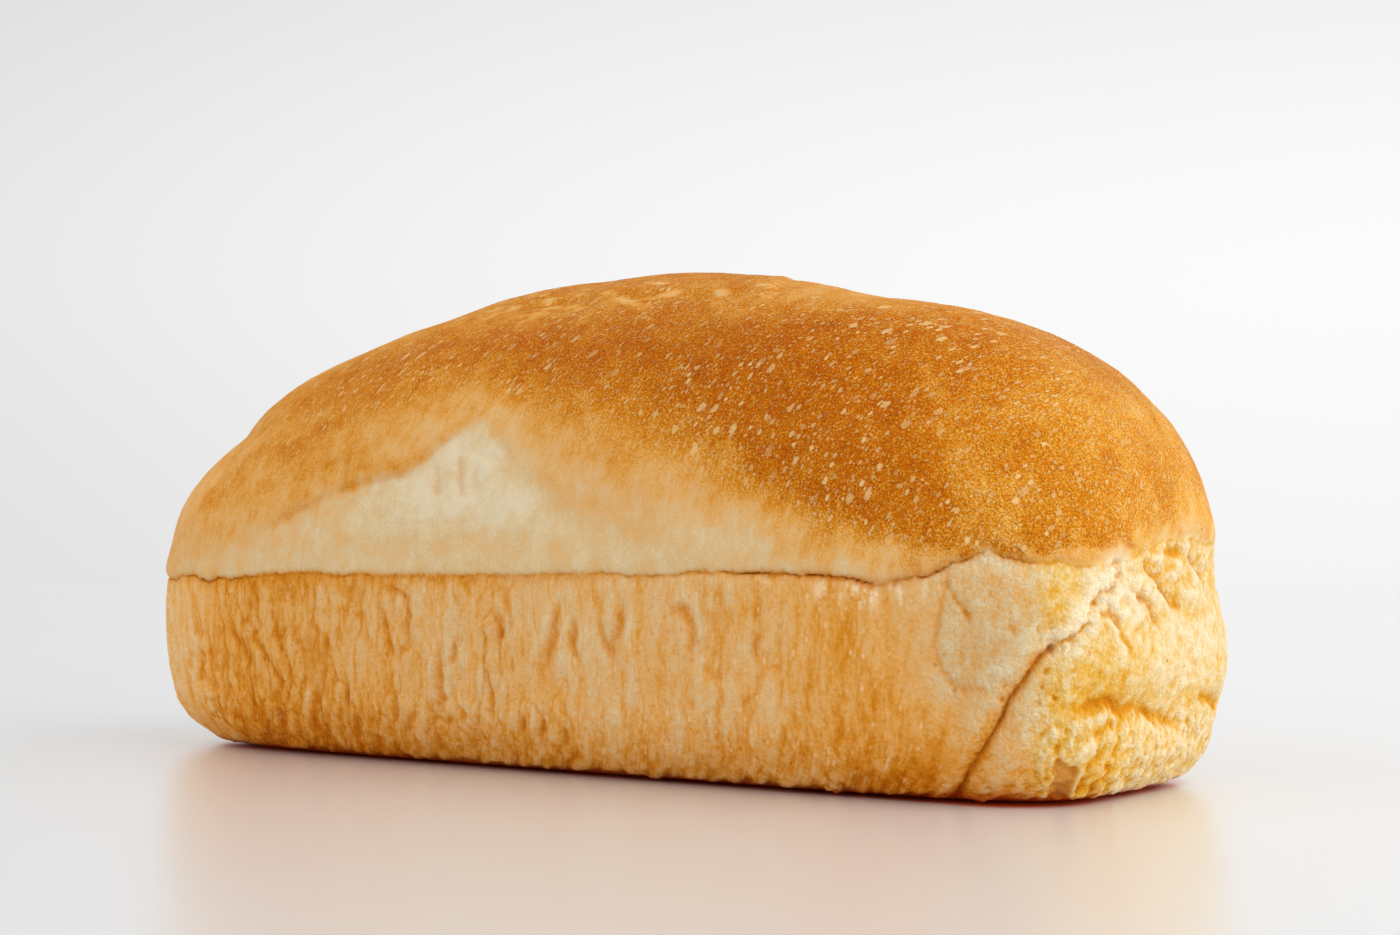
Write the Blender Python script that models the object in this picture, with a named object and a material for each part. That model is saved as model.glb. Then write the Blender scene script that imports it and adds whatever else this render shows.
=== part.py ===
"""A small white tin loaf, one closed solid.

The loaf lies along X and stands on the XY plane. Its lower part took the shape
of a shallow tin with a little draft; the domed crust rose over the rim and
overhangs it, which leaves the break line all the way round. The dough was a
rolled sheet, so each end shows the fold where the roll closes, with soft lobes
between the creases. Metres, +Z up.
"""
import math

import bmesh
import bpy
import numpy as np
from mathutils import Vector

MM = 0.001

# ---- driving dimensions, in millimetres -----------------------------------
HALF_LENGTH = 108.0  # at the break line
HALF_WIDTH = 45.2  # at the break line
HEIGHT = 93.4  # table to the top of the dome
BREAK_Z = 35.6  # height of the tin's rim
END_BULGE = (1.9, 1.8)  # how far the -X and +X ends belly out over the rim
END_DRAFT = (0.6, 5.2)  # how much shorter the base is, at -X and +X
SIDE_DRAFT = 6.0  # how much narrower the base is, each side
FOOT_RADIUS_END = (4.5, 6.5)  # rounding where the ends meet the base
FOOT_RADIUS_SIDE = 14.0  # rounding where the sides meet the base
TAPER = -0.031  # the +X end is slightly narrower
CORNER_BASE = 5.6  # superellipse exponents of the plan: base, rim, dome
CORNER_RIM = (5.4, 4.1)
CORNER_DOME = 2.6
DOME_LENGTH = ((3.42, 1.50), (3.40, 1.43))  # dome profile powers, -X and +X
DOME_WIDTH = (3.44, 1.50)
CENTRE = (0.94, -0.045)  # brings the bounding box's centre onto the Z axis

# ---- mesh density: cells along X, Y and Z ----------------------------------
CELLS = (40, 24, 24)


def inset(z, radius):
    """How far a foot rounded to this radius stands back at height z."""
    t = np.clip(1 - z / radius, 0, 1)
    return radius * (1 - np.sqrt(np.maximum(1 - t * t, 0)))


def outline(z):
    """Half lengths, half width and corner exponents of the level section at z."""
    low = np.clip(z / BREAK_Z, 0, 1)
    high = np.clip((z - BREAK_Z) / (HEIGHT - BREAK_Z), 0, 1 - 1e-9)
    above = z > BREAK_Z
    belly = np.sin(np.pi * low)
    fade = np.minimum(1, 2 * high)
    sides = []
    for k in (0, 1):
        tin = HALF_LENGTH + END_BULGE[k] * belly - END_DRAFT[k] * (1 - low) - inset(z, FOOT_RADIUS_END[k])
        p, q = DOME_LENGTH[k]
        half = np.where(above, HALF_LENGTH * (1 - high**p) ** (1 / q), tin)
        n = np.where(
            above,
            CORNER_RIM[k] + (CORNER_DOME - CORNER_RIM[k]) * fade,
            CORNER_BASE + (CORNER_RIM[k] - CORNER_BASE) * low,
        )
        sides.append((half, n))
    p, q = DOME_WIDTH
    tin = HALF_WIDTH - SIDE_DRAFT * (1 - low) - inset(z, FOOT_RADIUS_SIDE)
    width = np.where(above, HALF_WIDTH * (1 - high**p) ** (1 / q), tin)
    return sides, width


def level_radius(points):
    """Below 1 inside the level section through each point, and 1 on the skin."""
    x, y, z = points[:, 0], points[:, 1], points[:, 2]
    (minus, plus), width = outline(np.clip(z, 0, HEIGHT))
    half = np.where(x >= 0, plus[0], minus[0])
    n = np.where(x >= 0, plus[1], minus[1])
    y = y / (1 + TAPER * x / HALF_LENGTH)
    return (np.abs(x) / half) ** n + (np.abs(y) / width) ** n


def skin_points(box):
    """The smooth loaf's skin, for points on the faces of the unit box.

    Each is carried out from a spine inside the loaf until it meets the skin.
    """
    spine_half, spine_z = 0.62 * HALF_LENGTH, 0.42 * HEIGHT
    target = np.stack(
        [box[:, 0] * HALF_LENGTH, box[:, 1] * HALF_WIDTH, spine_z + box[:, 2] * 0.5 * HEIGHT], 1
    )
    start = np.stack(
        [
            np.clip(target[:, 0] * 0.8, -spine_half, spine_half),
            np.zeros(len(box)),
            np.full(len(box), spine_z),
        ],
        1,
    )
    ray = target - start
    low, high = np.zeros(len(box)), np.full(len(box), 4.0)
    for _ in range(44):
        middle = (low + high) / 2
        p = start + ray * middle[:, None]
        inside = (p[:, 2] > 0) & (p[:, 2] < HEIGHT)
        inside &= level_radius(p) < 1
        low, high = np.where(inside, middle, low), np.where(inside, high, middle)
    return start + ray * low[:, None]


def rim_table():
    """Angle and distance round the loaf at the rim, from the middle of the -Y side."""
    angle = np.linspace(-np.pi, np.pi, 3601)
    (minus, plus), width = outline(np.array(BREAK_Z))
    c, s = np.cos(angle), np.sin(angle)
    n = np.where(c >= 0, plus[1], minus[1])
    x = np.where(c >= 0, plus[0], minus[0]) * np.sign(c) * np.abs(c) ** (2 / n)
    y = width * np.sign(s) * np.abs(s) ** (2 / n)
    step = np.hypot(np.diff(x), np.diff(y))
    run = np.concatenate([[0], np.cumsum(step)])
    return angle, run - np.interp(-np.pi / 2, angle, run), run[-1]


RIM_ANGLE, RIM_RUN, RIM_LENGTH = rim_table()


def round_the_loaf(points):
    """Distance round the loaf of each point, measured at the rim: 0 is the middle
    of the -Y side, +X end about 139, +Y side about +-279, -X end about -139."""
    x, y, z = points[:, 0], points[:, 1], points[:, 2]
    (minus, plus), width = outline(np.clip(z, 0, HEIGHT * 0.985))
    half = np.where(x >= 0, plus[0], minus[0])
    n = np.where(x >= 0, plus[1], minus[1])
    y = y / (1 + TAPER * x / HALF_LENGTH)
    a = np.arctan2(
        np.sign(y) * np.abs(y / width) ** (n / 2), np.sign(x) * np.abs(x / half) ** (n / 2)
    )
    return np.interp(a, RIM_ANGLE, RIM_RUN)


def wrapped(run):
    """A distance round the loaf brought into half a turn either way."""
    return (run + RIM_LENGTH / 2) % RIM_LENGTH - RIM_LENGTH / 2


def bump(run, z, at, size):
    """A soft mound at (distance round, height), with these half widths."""
    return np.exp(-((wrapped(run - at[0]) / size[0]) ** 2) - ((z - at[1]) / size[1]) ** 2)


def crease(run, z, knots, width):
    """1 on the line through these (distance round, height) knots, 0 away from it."""
    best = np.full(len(run), 1e9)
    for (r0, z0), (r1, z1) in zip(knots, knots[1:]):
        dr, dz = r1 - r0, z1 - z0
        pr, pz = wrapped(run - r0), z - z0
        t = np.clip((pr * dr + pz * dz) / (dr * dr + dz * dz), 0, 1)
        best = np.minimum(best, np.hypot(pr - t * dr, pz - t * dz))
    return np.exp(-((best / width) ** 2))


def rim_height(run):
    """The break line wanders: it dips and then climbs over the fold at each end."""
    w = wrapped(run)
    return (
        BREAK_Z
        + 3.4 * np.exp(-(((w - 96) / 6.5) ** 2))
        + 2.0 * np.exp(-(((w - 110) / 9) ** 2))
        - 1.6 * np.exp(-(((w - 77) / 5) ** 2))
        + 2.6 * np.exp(-((wrapped(w + 178) / 8) ** 2))
        + 1.6 * np.exp(-((wrapped(w + 160) / 11) ** 2))
        + 0.5 * np.sin(w / 11.0)
        + 0.3 * np.sin(w / 4.3 + 1.0)
    )


# Creases of the rolled dough's two ends, as (distance round, height) knots.
FOLD_PLUS = ((84, -2), (88, 5), (92, 10), (96, 17), (101, 22.5), (105.5, 27), (113, 31.7), (118, 36))
FOLD_MINUS = ((-193, -2), (-190, 6), (-184, 13), (-178, 20), (-171, 25), (-163, 30), (-157, 36))
SHELF_PLUS = ((105, 18), (110, 16), (118, 15.5), (125, 14), (134, 12.5), (143, 11), (151, 14))
SHELF_MINUS = ((-171, 14), (-160, 15), (-150, 13), (-140, 13.5), (-128, 16))
TUCK_PLUS = ((117, 33), (122, 29), (128, 26.5), (132, 25.5))
TUCK_PLUS_B = ((125, 37), (131, 34.5), (135, 32), (139, 29.5))
TUCK_MINUS = ((-150, 38), (-144, 33), (-139, 28), (-133, 26))


def relief(points):
    """How far the crust stands out from the smooth loaf, along its normal."""
    run, z = round_the_loaf(points), points[:, 2]
    over = z - rim_height(run)
    side = np.clip(z / 6, 0, 1)
    out = -1.7 * np.exp(-((over / 1.7) ** 2))  # the break line's groove
    out += 0.8 * np.exp(-(((over - 5.0) / 3.4) ** 2))  # the dome's overhanging lip
    below = np.clip(-over / 4, 0, 1) * side
    # the two ends: folds, lobes between them, and the foot's lip
    out -= 2.0 * crease(run, z, FOLD_PLUS, 2.7) * below
    out -= 1.9 * crease(run, z, FOLD_MINUS, 2.7) * below
    out -= 1.2 * crease(run, z, SHELF_PLUS, 2.7) * side
    out -= 1.1 * crease(run, z, SHELF_MINUS, 2.7) * side
    out -= 0.9 * crease(run, z, TUCK_PLUS, 2.4)
    out -= 0.8 * crease(run, z, TUCK_PLUS_B, 2.4)
    out -= 0.9 * crease(run, z, TUCK_MINUS, 2.4)
    for at, size, rise in (
        ((126, 21), (13, 6), 1.3),
        ((131, 6.5), (15, 4), 0.7),
        ((93, 28), (7, 6), 0.8),
        ((140, 34), (5, 4), 0.8),
        ((154, 21), (11, 6), 0.7),
        ((160, 35), (11, 5), -0.6),
        ((-150, 21), (14, 6), 1.2),
        ((-142, 7), (15, 4), 0.7),
        ((-182, 27), (7, 6), 0.8),
        ((-133, 35), (6, 5), 0.9),
    ):
        out += rise * bump(run, z, at, size)
    # slow unevenness of the whole crust
    x, y = points[:, 0], points[:, 1]
    out += 0.5 * np.sin(x / 17 + 0.6) * np.sin(y / 15 + z / 19 + 0.8) * side
    out += 0.2 * np.sin(x / 9.5 + z / 13) * np.sin(z / 12 + y / 14) * side
    # the raised flap of crust along the top, which ends in a small step
    step = 1 / (1 + np.exp((x - 38) / 1.5)) / (1 + np.exp(-(x + 30) / 12))
    out += 1.1 * step * np.exp(-(((y - 2) / 16) ** 2)) * np.clip((z - 75) / 10, 0, 1)
    return out


def graded(values, cells):
    """Moves evenly spaced grid lines so that a few lie close to the break line."""
    spine = 0.42 * HEIGHT
    at = (BREAK_Z - spine) / (0.5 * HEIGHT)
    return values - 2.4 / cells * np.sin(np.clip((values - at) * cells / 5.2, -np.pi, np.pi))


def make_loaf():
    bpy.ops.mesh.primitive_cube_add(size=2)
    loaf = bpy.context.active_object
    loaf.name = "loaf"
    mesh = loaf.data
    mesh.name = "loaf"
    bm = bmesh.new()
    bm.from_mesh(mesh)
    for axis, cells in enumerate(CELLS):
        along = [e for e in bm.edges if abs((e.verts[0].co - e.verts[1].co)[axis]) > 1]
        bmesh.ops.subdivide_edges(bm, edges=along, cuts=cells - 1, use_grid_fill=True)
    box = np.array([v.co for v in bm.verts], float)
    # the grid lines gather a little towards the ends and towards the rim
    box[:, 0] = np.sin(box[:, 0] * 1.12) / math.sin(1.12)
    box[:, 2] = np.where(np.abs(box[:, 2]) < 1, graded(box[:, 2], CELLS[2]), box[:, 2])
    points = skin_points(box)
    for v, p in zip(bm.verts, points):
        v.co = Vector(p * MM)
    bm.normal_update()
    normals = np.array([v.normal for v in bm.verts], float)
    out = relief(points)
    foot = np.clip(points[:, 2] / 1.5, 0, 1)  # the underside stays flat
    moved = points + normals * (out * foot)[:, None]
    moved[:, 2] = np.where(points[:, 2] < 1e-3, 0, np.maximum(moved[:, 2], 0))
    moved[:, 0] += CENTRE[0]
    moved[:, 1] += CENTRE[1]
    for v, p in zip(bm.verts, moved):
        v.co = Vector(p * MM)
    bmesh.ops.recalc_face_normals(bm, faces=bm.faces)
    bm.to_mesh(mesh)
    bm.free()
    mesh.shade_smooth()
    return loaf


def crust_material():
    material = bpy.data.materials.new("crust")
    material.use_nodes = True
    shader = material.node_tree.nodes["Principled BSDF"]
    shader.inputs["Base Color"].default_value = (0.62, 0.31, 0.075, 1)
    shader.inputs["Roughness"].default_value = 0.55
    shader.inputs["Metallic"].default_value = 0.0
    return material


def main():
    for old in list(bpy.data.objects):
        bpy.data.objects.remove(old, do_unlink=True)
    parts = bpy.data.collections.new("white_tin_loaf")
    bpy.context.scene.collection.children.link(parts)
    loaf = make_loaf()
    for c in list(loaf.users_collection):
        c.objects.unlink(loaf)
    parts.objects.link(loaf)
    loaf.data.materials.clear()
    loaf.data.materials.append(crust_material())


main()
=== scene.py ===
"""The visual model of the small white tin loaf, on a pale studio sweep.

The crust is one fine mesh. A box's grid is carried out onto the loaf's smooth
form, refined where the crust has creases, and then raised and sunk along its
normals. Values worked out with the relief (how far each place is baked, how
deep it lies in a crease, which way the dough was stretched) go to the material
as attributes, and the material adds the finer texture. Painted shade darkens
the creases, the hollows and the foot, painted light and shade make some places
lighter or darker, and painted glints brighten the dome's fine bubbles.
Millimetres until the mesh is written.
"""

import math

import bmesh
import bpy
import numpy as np
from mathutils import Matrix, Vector


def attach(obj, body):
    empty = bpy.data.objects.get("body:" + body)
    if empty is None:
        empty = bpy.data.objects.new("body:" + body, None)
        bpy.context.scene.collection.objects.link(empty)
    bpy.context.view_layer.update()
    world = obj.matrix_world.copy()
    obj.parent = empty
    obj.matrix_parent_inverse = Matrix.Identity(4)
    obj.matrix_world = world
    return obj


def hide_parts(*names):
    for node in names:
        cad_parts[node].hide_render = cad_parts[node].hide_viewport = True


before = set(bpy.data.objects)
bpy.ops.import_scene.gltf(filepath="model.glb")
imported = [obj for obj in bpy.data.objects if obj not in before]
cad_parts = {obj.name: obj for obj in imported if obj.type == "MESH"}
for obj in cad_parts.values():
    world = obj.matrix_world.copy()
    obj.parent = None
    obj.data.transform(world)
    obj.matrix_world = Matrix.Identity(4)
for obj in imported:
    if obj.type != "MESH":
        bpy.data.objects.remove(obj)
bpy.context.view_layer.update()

MM = 0.001

# ---------------------------------------------------------------- dimensions
HALF_LENGTH = 108.0
HALF_WIDTH = 45.2
HEIGHT = 93.4
BREAK_Z = 35.6
END_BULGE = (1.9, 1.8)
END_DRAFT = (0.6, 5.2)
SIDE_DRAFT = 6.6
FOOT_RADIUS_END = (12.0, 6.5)
FOOT_RADIUS_SIDE = 12.0
TAPER = -0.031
CORNER_BASE = 5.6
CORNER_RIM = (5.4, 4.1)
CORNER_DOME = 2.6
DOME_LENGTH = ((3.42, 1.50), (3.40, 1.43))
DOME_WIDTH = (3.44, 1.50)
CENTRE = (0.94, -0.045)
SPINE = 0.62 * HALF_LENGTH


# ------------------------------------------------------------- smooth form
def inset(z, radius):
    t = np.clip(1 - z / radius, 0, 1)
    return radius * (1 - np.sqrt(np.maximum(1 - t * t, 0)))


def outline(z):
    low = np.clip(z / BREAK_Z, 0, 1)
    high = np.clip((z - BREAK_Z) / (HEIGHT - BREAK_Z), 0, 1 - 1e-9)
    above = z > BREAK_Z
    belly = np.sin(np.pi * low)
    fade = np.minimum(1, 2 * high)
    sides = []
    for k in (0, 1):
        tin = HALF_LENGTH + END_BULGE[k] * belly - END_DRAFT[k] * (1 - low) - inset(z, FOOT_RADIUS_END[k])
        p, q = DOME_LENGTH[k]
        half = np.where(above, HALF_LENGTH * (1 - high**p) ** (1 / q), tin)
        n = np.where(
            above,
            CORNER_RIM[k] + (CORNER_DOME - CORNER_RIM[k]) * fade,
            CORNER_BASE + (CORNER_RIM[k] - CORNER_BASE) * low,
        )
        sides.append((half, n))
    p, q = DOME_WIDTH
    tin = HALF_WIDTH - SIDE_DRAFT * (1 - low) - inset(z, FOOT_RADIUS_SIDE)
    width = np.where(above, HALF_WIDTH * (1 - high**p) ** (1 / q), tin)
    return sides, width


def section(points, top=HEIGHT):
    x, y, z = points[:, 0], points[:, 1], points[:, 2]
    (minus, plus), width = outline(np.clip(z, 0, top))
    half = np.where(x >= 0, plus[0], minus[0])
    n = np.where(x >= 0, plus[1], minus[1])
    return x, y / (1 + TAPER * x / HALF_LENGTH), half, width, n


def level_radius(points):
    x, y, half, width, n = section(points)
    return (np.abs(x) / half) ** n + (np.abs(y) / width) ** n


def skin_points(box):
    spine_z = 0.42 * HEIGHT
    target = np.stack(
        [box[:, 0] * HALF_LENGTH, box[:, 1] * HALF_WIDTH, spine_z + box[:, 2] * 0.5 * HEIGHT], 1
    )
    start = np.stack(
        [
            np.clip(target[:, 0] * 0.8, -SPINE, SPINE),
            np.zeros(len(box)),
            np.full(len(box), spine_z),
        ],
        1,
    )
    ray = target - start
    low, high = np.zeros(len(box)), np.full(len(box), 4.0)
    for _ in range(40):
        middle = (low + high) / 2
        p = start + ray * middle[:, None]
        inside = (p[:, 2] > 0) & (p[:, 2] < HEIGHT)
        inside &= level_radius(p) < 1
        low, high = np.where(inside, middle, low), np.where(inside, high, middle)
    return start + ray * low[:, None]


def rim_table():
    angle = np.linspace(-np.pi, np.pi, 7201)
    (minus, plus), width = outline(np.array(BREAK_Z))
    c, s = np.cos(angle), np.sin(angle)
    n = np.where(c >= 0, plus[1], minus[1])
    x = np.where(c >= 0, plus[0], minus[0]) * np.sign(c) * np.abs(c) ** (2 / n)
    y = width * np.sign(s) * np.abs(s) ** (2 / n) * (1 + TAPER * x / HALF_LENGTH)
    run = np.concatenate([[0], np.cumsum(np.hypot(np.diff(x), np.diff(y)))])
    return angle, run - np.interp(-np.pi / 2, angle, run), run[-1]


RIM_ANGLE, RIM_RUN, RIM_LENGTH = rim_table()


def round_the_loaf(points):
    """Distance round the rim: 0 in the middle of the front (-Y), about 139 in
    the middle of the +X end, +-279 at the back and -139 at the -X end."""
    x, y, half, width, n = section(points, HEIGHT * 0.985)
    a = np.arctan2(
        np.sign(y) * np.abs(y / width) ** (n / 2), np.sign(x) * np.abs(x / half) ** (n / 2)
    )
    return np.interp(a, RIM_ANGLE, RIM_RUN)


def on_the_wall(points):
    """Each point carried straight out to the tin's rim outline, with its own
    height: streaks in these coordinates run straight down the tin's sides."""
    start = np.stack([np.clip(points[:, 0], -SPINE, SPINE), np.zeros(len(points)), np.full(len(points), BREAK_Z)], 1)
    ray = np.stack([points[:, 0] - start[:, 0], points[:, 1] + 1e-6, np.zeros(len(points))], 1)
    ray /= np.linalg.norm(ray, axis=1)[:, None]
    low, high = np.zeros(len(points)), np.full(len(points), 80.0)
    for _ in range(26):
        middle = (low + high) / 2
        inside = level_radius(start + ray * middle[:, None]) < 1
        low, high = np.where(inside, middle, low), np.where(inside, high, middle)
    wall = start + ray * low[:, None]
    wall[:, 2] = points[:, 2]
    return wall


def wrapped(run):
    return (run + RIM_LENGTH / 2) % RIM_LENGTH - RIM_LENGTH / 2


# ------------------------------------------------------------------- noise
def scrambled(i, j, k, seed):
    h = (i * 73856093) ^ (j * 19349663) ^ (k * 83492791) ^ (seed * 40503 + 977)
    h &= 0xFFFFFFFF
    for _ in range(2):
        h = ((h ^ (h >> 16)) * 0x45D9F3B) & 0xFFFFFFFF
    return (h ^ (h >> 16)) / 4294967296.0


def noise(p, size, seed=0):
    """Smooth noise, about -1 to 1, with features of this size in mm (one number,
    or one for each axis)."""
    q = p / np.asarray(size, float)
    base = np.floor(q)
    f = q - base
    u = f * f * f * (f * (f * 6 - 15) + 10)
    cell = base.astype(np.int64)
    total = np.zeros(len(p))
    for a in (0, 1):
        for b in (0, 1):
            for c in (0, 1):
                i, j, k = cell[:, 0] + a, cell[:, 1] + b, cell[:, 2] + c
                slope = [scrambled(i, j, k, seed * 3 + m) * 2 - 1 for m in (1, 2, 3)]
                dot = slope[0] * (f[:, 0] - a) + slope[1] * (f[:, 1] - b) + slope[2] * (f[:, 2] - c)
                weight = (
                    (u[:, 0] if a else 1 - u[:, 0])
                    * (u[:, 1] if b else 1 - u[:, 1])
                    * (u[:, 2] if c else 1 - u[:, 2])
                )
                total += dot * weight
    return total * 1.7


def layered(p, size, seed=0, layers=3):
    total, share, size = np.zeros(len(p)), 1.0, np.asarray(size, float)
    for n in range(layers):
        total += share * noise(p, size, seed + 17 * n)
        share, size = share * 0.5, size * 0.5
    return total / (2 - 0.5 ** (layers - 1))


def pores(p, size, seed=0):
    """Distance to the nearest scattered centre, in units of size, and that
    centre's own random number."""
    q = p / np.asarray(size, float)
    cell = np.floor(q).astype(np.int64)
    best, mark = np.full(len(p), 9.0), np.zeros(len(p))
    for a in (-1, 0, 1):
        for b in (-1, 0, 1):
            for c in (-1, 0, 1):
                i, j, k = cell[:, 0] + a, cell[:, 1] + b, cell[:, 2] + c
                d = np.sqrt(
                    sum(
                        (n + scrambled(i, j, k, seed * 5 + m) - q[:, axis]) ** 2
                        for axis, (n, m) in enumerate(((i, 1), (j, 2), (k, 3)))
                    )
                )
                closer = d < best
                best = np.where(closer, d, best)
                mark = np.where(closer, scrambled(i, j, k, seed * 5 + 4), mark)
    return best, mark


def smooth(a, b, v):
    t = np.clip((v - a) / (b - a), 0, 1)
    return t * t * (3 - 2 * t)


def near(run, z, at, size):
    return np.exp(-((wrapped(run - at[0]) / size[0]) ** 2) - ((z - at[1]) / size[1]) ** 2)


def line(run, z, knots, wrap=True):
    """Distance in mm to a line of (distance round, height) knots, how far along
    it the nearest place is (0 to 1), and which side (above or left is +)."""
    best = np.full(len(run), 1e9)
    along, side = np.zeros(len(run)), np.zeros(len(run))
    lengths = [math.hypot(b[0] - a[0], b[1] - a[1]) for a, b in zip(knots, knots[1:])]
    total, done = sum(lengths), 0.0
    for (a, b), length in zip(zip(knots, knots[1:]), lengths):
        dr, dz = b[0] - a[0], b[1] - a[1]
        pr, pz = (wrapped(run - a[0]) if wrap else run - a[0]), z - a[1]
        t = np.clip((pr * dr + pz * dz) / (length * length), 0, 1)
        d = np.hypot(pr - t * dr, pz - t * dz)
        closer = d < best
        best = np.where(closer, d, best)
        along = np.where(closer, (done + t * length) / total, along)
        side = np.where(closer, np.sign(dr * pz - dz * pr), side)
        done += length
    return best, along, side


# ------------------------------------------------- where the crust's folds are
# (distance round, height) in mm.
RIM = (
    (-150, 37.5), (-139, 38.5), (-128, 37.0), (-112, 35.6), (-101, 35.2), (-94, 34.6), (-90, 35.5),
    (-85, 35.8), (-79.5, 34.2), (-75, 35.0), (-71, 34.6), (-63, 35.6), (-49, 35.9), (-22, 35.4),
    (2, 35.5), (24, 35.7), (36, 35.2), (45, 36.0), (56, 35.7), (65, 35.7), (71, 35.2), (74, 34.5),
    (77.3, 33.9), (81.6, 34.9), (86, 36.0), (88.5, 36.8), (91.6, 38.1), (95.2, 39.4), (97, 38.4),
    (101, 37.6), (105, 37.6), (108, 37.0), (113, 36.9), (116, 37.4), (122, 38.6), (132, 40.6),
    (141, 41.4), (153, 41.0), (168, 39.0), (184, 37.2), (200, 36.0), (230, 35.4), (260, 35.9),
)
FOLD = (
    (85.3, -1), (85.6, 1.2), (87.4, 4.7), (91.3, 8.9), (94.5, 13.6), (95.9, 16.6), (98.7, 19.6),
    (100.6, 22.0), (102.1, 23.3), (103.7, 24.4),
)
TEAR = (
    (103.7, 24.4), (107.2, 25.9), (108.9, 27.0), (110.0, 28.4), (111.2, 30.1), (112.6, 31.8),
    (114.6, 33.0), (117.0, 34.3), (117.7, 35.9), (116.6, 37.2),
)
LOBE = ((110.4, 30.0), (113.0, 29.9), (115.3, 29.2), (116.6, 28.1), (117.7, 26.2), (119.1, 24.2), (120.0, 21.5))
INNER = ((121.0, 32.7), (123.9, 31.1), (126.2, 29.4), (128.5, 27.9), (129.5, 26.2))
KNUCKLE = ((123.6, 37.6), (124.5, 36.8), (126.8, 35.9), (129.9, 34.5), (132.8, 32.8), (134.7, 31.0), (138.3, 29.6))
KNUCKLE_B = ((140.7, 38.3), (145.0, 36.7), (147.7, 34.7), (149.6, 32.7))
KNUCKLE_C = ((132.3, 39.9), (136.3, 39.3), (140.5, 40.0))
SHELF = (
    (104.6, 16.2), (106.2, 15.2), (108.3, 14.8), (111.4, 14.9), (115.2, 16.1), (118.3, 15.3),
    (121.5, 14.1), (124.9, 14.4), (128.8, 14.3), (132.2, 13.1), (135.8, 11.9), (138.6, 11.1), (142.0, 11.7),
)
SHELF_B = ((143.8, 15.8), (147.3, 15.2), (151.0, 14.4), (155.0, 13.2), (161.0, 12.6))
FLAP = ((88.3, 36.6), (87.6, 35.4), (87.2, 32.2), (85.3, 28.8), (83.9, 24.9), (84.5, 21.5), (85.8, 18.7), (89.9, 18.0), (94.0, 17.4))
FLAP_B = ((88.0, 35.4), (88.3, 33.6), (89.4, 30.9), (90.9, 27.4))
FLAP_C = ((96.7, 28.5), (97.8, 25.6))
# the other end and the back, where the roll's other fold and its seam lie
FOLD_BACK = ((-193, -1), (-190, 6), (-184, 13), (-178, 20), (-171, 25), (-163, 30), (-157, 37))
SHELF_BACK = ((-171, 14), (-160, 15.5), (-150, 13), (-140, 13.5), (-128, 16.5))
KNUCKLE_BACK = ((-150, 39), (-144, 33.5), (-139, 28.5), (-133, 26))
FLAP_BACK = ((-196, 36), (-199, 30), (-203, 24), (-201, 18), (-196, 14))
FOLD_FAR = ((192, -1), (189, 7), (183, 14), (178, 19), (174, 26), (168, 31), (160, 34))


def rim_height(run):
    w = wrapped(run)
    knots = np.array(sorted(RIM))
    far = np.array([-RIM_LENGTH / 2, -230.0, -200.0, -185.0, -165.0])
    at = np.concatenate([far, knots[:, 0], [RIM_LENGTH / 2]])
    up = np.concatenate([[35.6, 35.2, 35.9, 36.6, 37.6], knots[:, 1], [35.6]])
    wander = 0.35 * np.sin(w / 5.1 + 0.8) + 0.25 * np.sin(w / 2.3 + 2.0)
    hidden = 1 - smooth(-120, -100, w) * (1 - smooth(120, 140, w))
    return np.interp(w, at, up) + wander * hidden


def flow(points):
    """Coordinates that follow the dough's stretch, which leans to the right as
    it goes up: across it (mm), up it (mm),
    and a slow third one that keeps the front and the back from matching."""
    x, y, z = points.T
    past = np.maximum(np.abs(x) - 92.0, 0)
    fan = np.arctan2(past, np.abs(y) + 1e-9)
    across = np.sign(x) * (np.minimum(np.abs(x), 92.0) + 26.0 * fan)
    up = z + 0.9 * (45.0 - np.hypot(past, y))
    rise = np.maximum(up - 38, 0)
    across = across - 0.20 * rise - 0.0012 * rise**2
    return np.stack([across, up, 0.12 * y + 0.05 * x], 1)


# heights on the front, at each x, where the pale shred has turned golden, then
# brown, then dark, and the most that the crust is baked at each x
GOLDEN = (
    (-112, 36), (-90, 39), (-74, 42), (-60, 47), (-45, 51), (-36, 54.5), (-30, 58.5), (-24, 62), (-18, 64), (-6, 65.5), (7, 60.5),
    (18, 55), (30, 51), (40, 49.5), (50, 46), (59, 41.5), (68, 38), (80, 37), (112, 37),
)
BROWN = (
    (-112, 58), (-74, 63), (-48, 66), (-33, 67), (-18, 70), (-7, 71), (6, 66), (18, 65.5), (29, 62.5),
    (39, 58.5), (50, 54), (59, 47.5), (67, 43), (76, 41), (84, 40), (92, 39), (112, 40),
)
DARK = (
    (-112, 84), (-40, 80), (-18, 78), (-7, 75.5), (6, 72), (18, 72.5), (29, 70), (38, 64.5), (48, 60),
    (58, 52), (67, 46), (85, 43), (92, 42.5), (112, 43),
)
MOST = (
    (-112, 0.43), (-92, 0.49), (-76, 0.61), (-60, 0.74), (-45, 0.90), (-30, 0.98), (-15, 1.02), (-5, 1.03),
    (8, 1.05), (50, 1.03), (70, 0.98), (84, 0.92), (94, 0.86), (101, 0.80), (105, 0.72), (112, 0.62),
)
TIN_SHADE = (  # how baked the tin's side is at each distance round, at mid height
    (-150, 0.36), (-125, 0.40), (-100, 0.42), (-92, 0.42), (-85, 0.44), (-79.5, 0.60), (-74, 0.66), (-66, 0.64), (-55, 0.60),
    (-44, 0.56), (-30, 0.52), (-15, 0.45), (0, 0.45), (14, 0.42), (24, 0.44), (38, 0.45), (50, 0.47),
    (60, 0.55), (70, 0.57), (77, 0.51), (84, 0.43), (92, 0.36), (100, 0.37), (108, 0.36), (130, 0.34),
    (150, 0.36), (180, 0.42), (200, 0.55), (225, 0.50), (250, 0.58), (268, 0.50),
)
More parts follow.
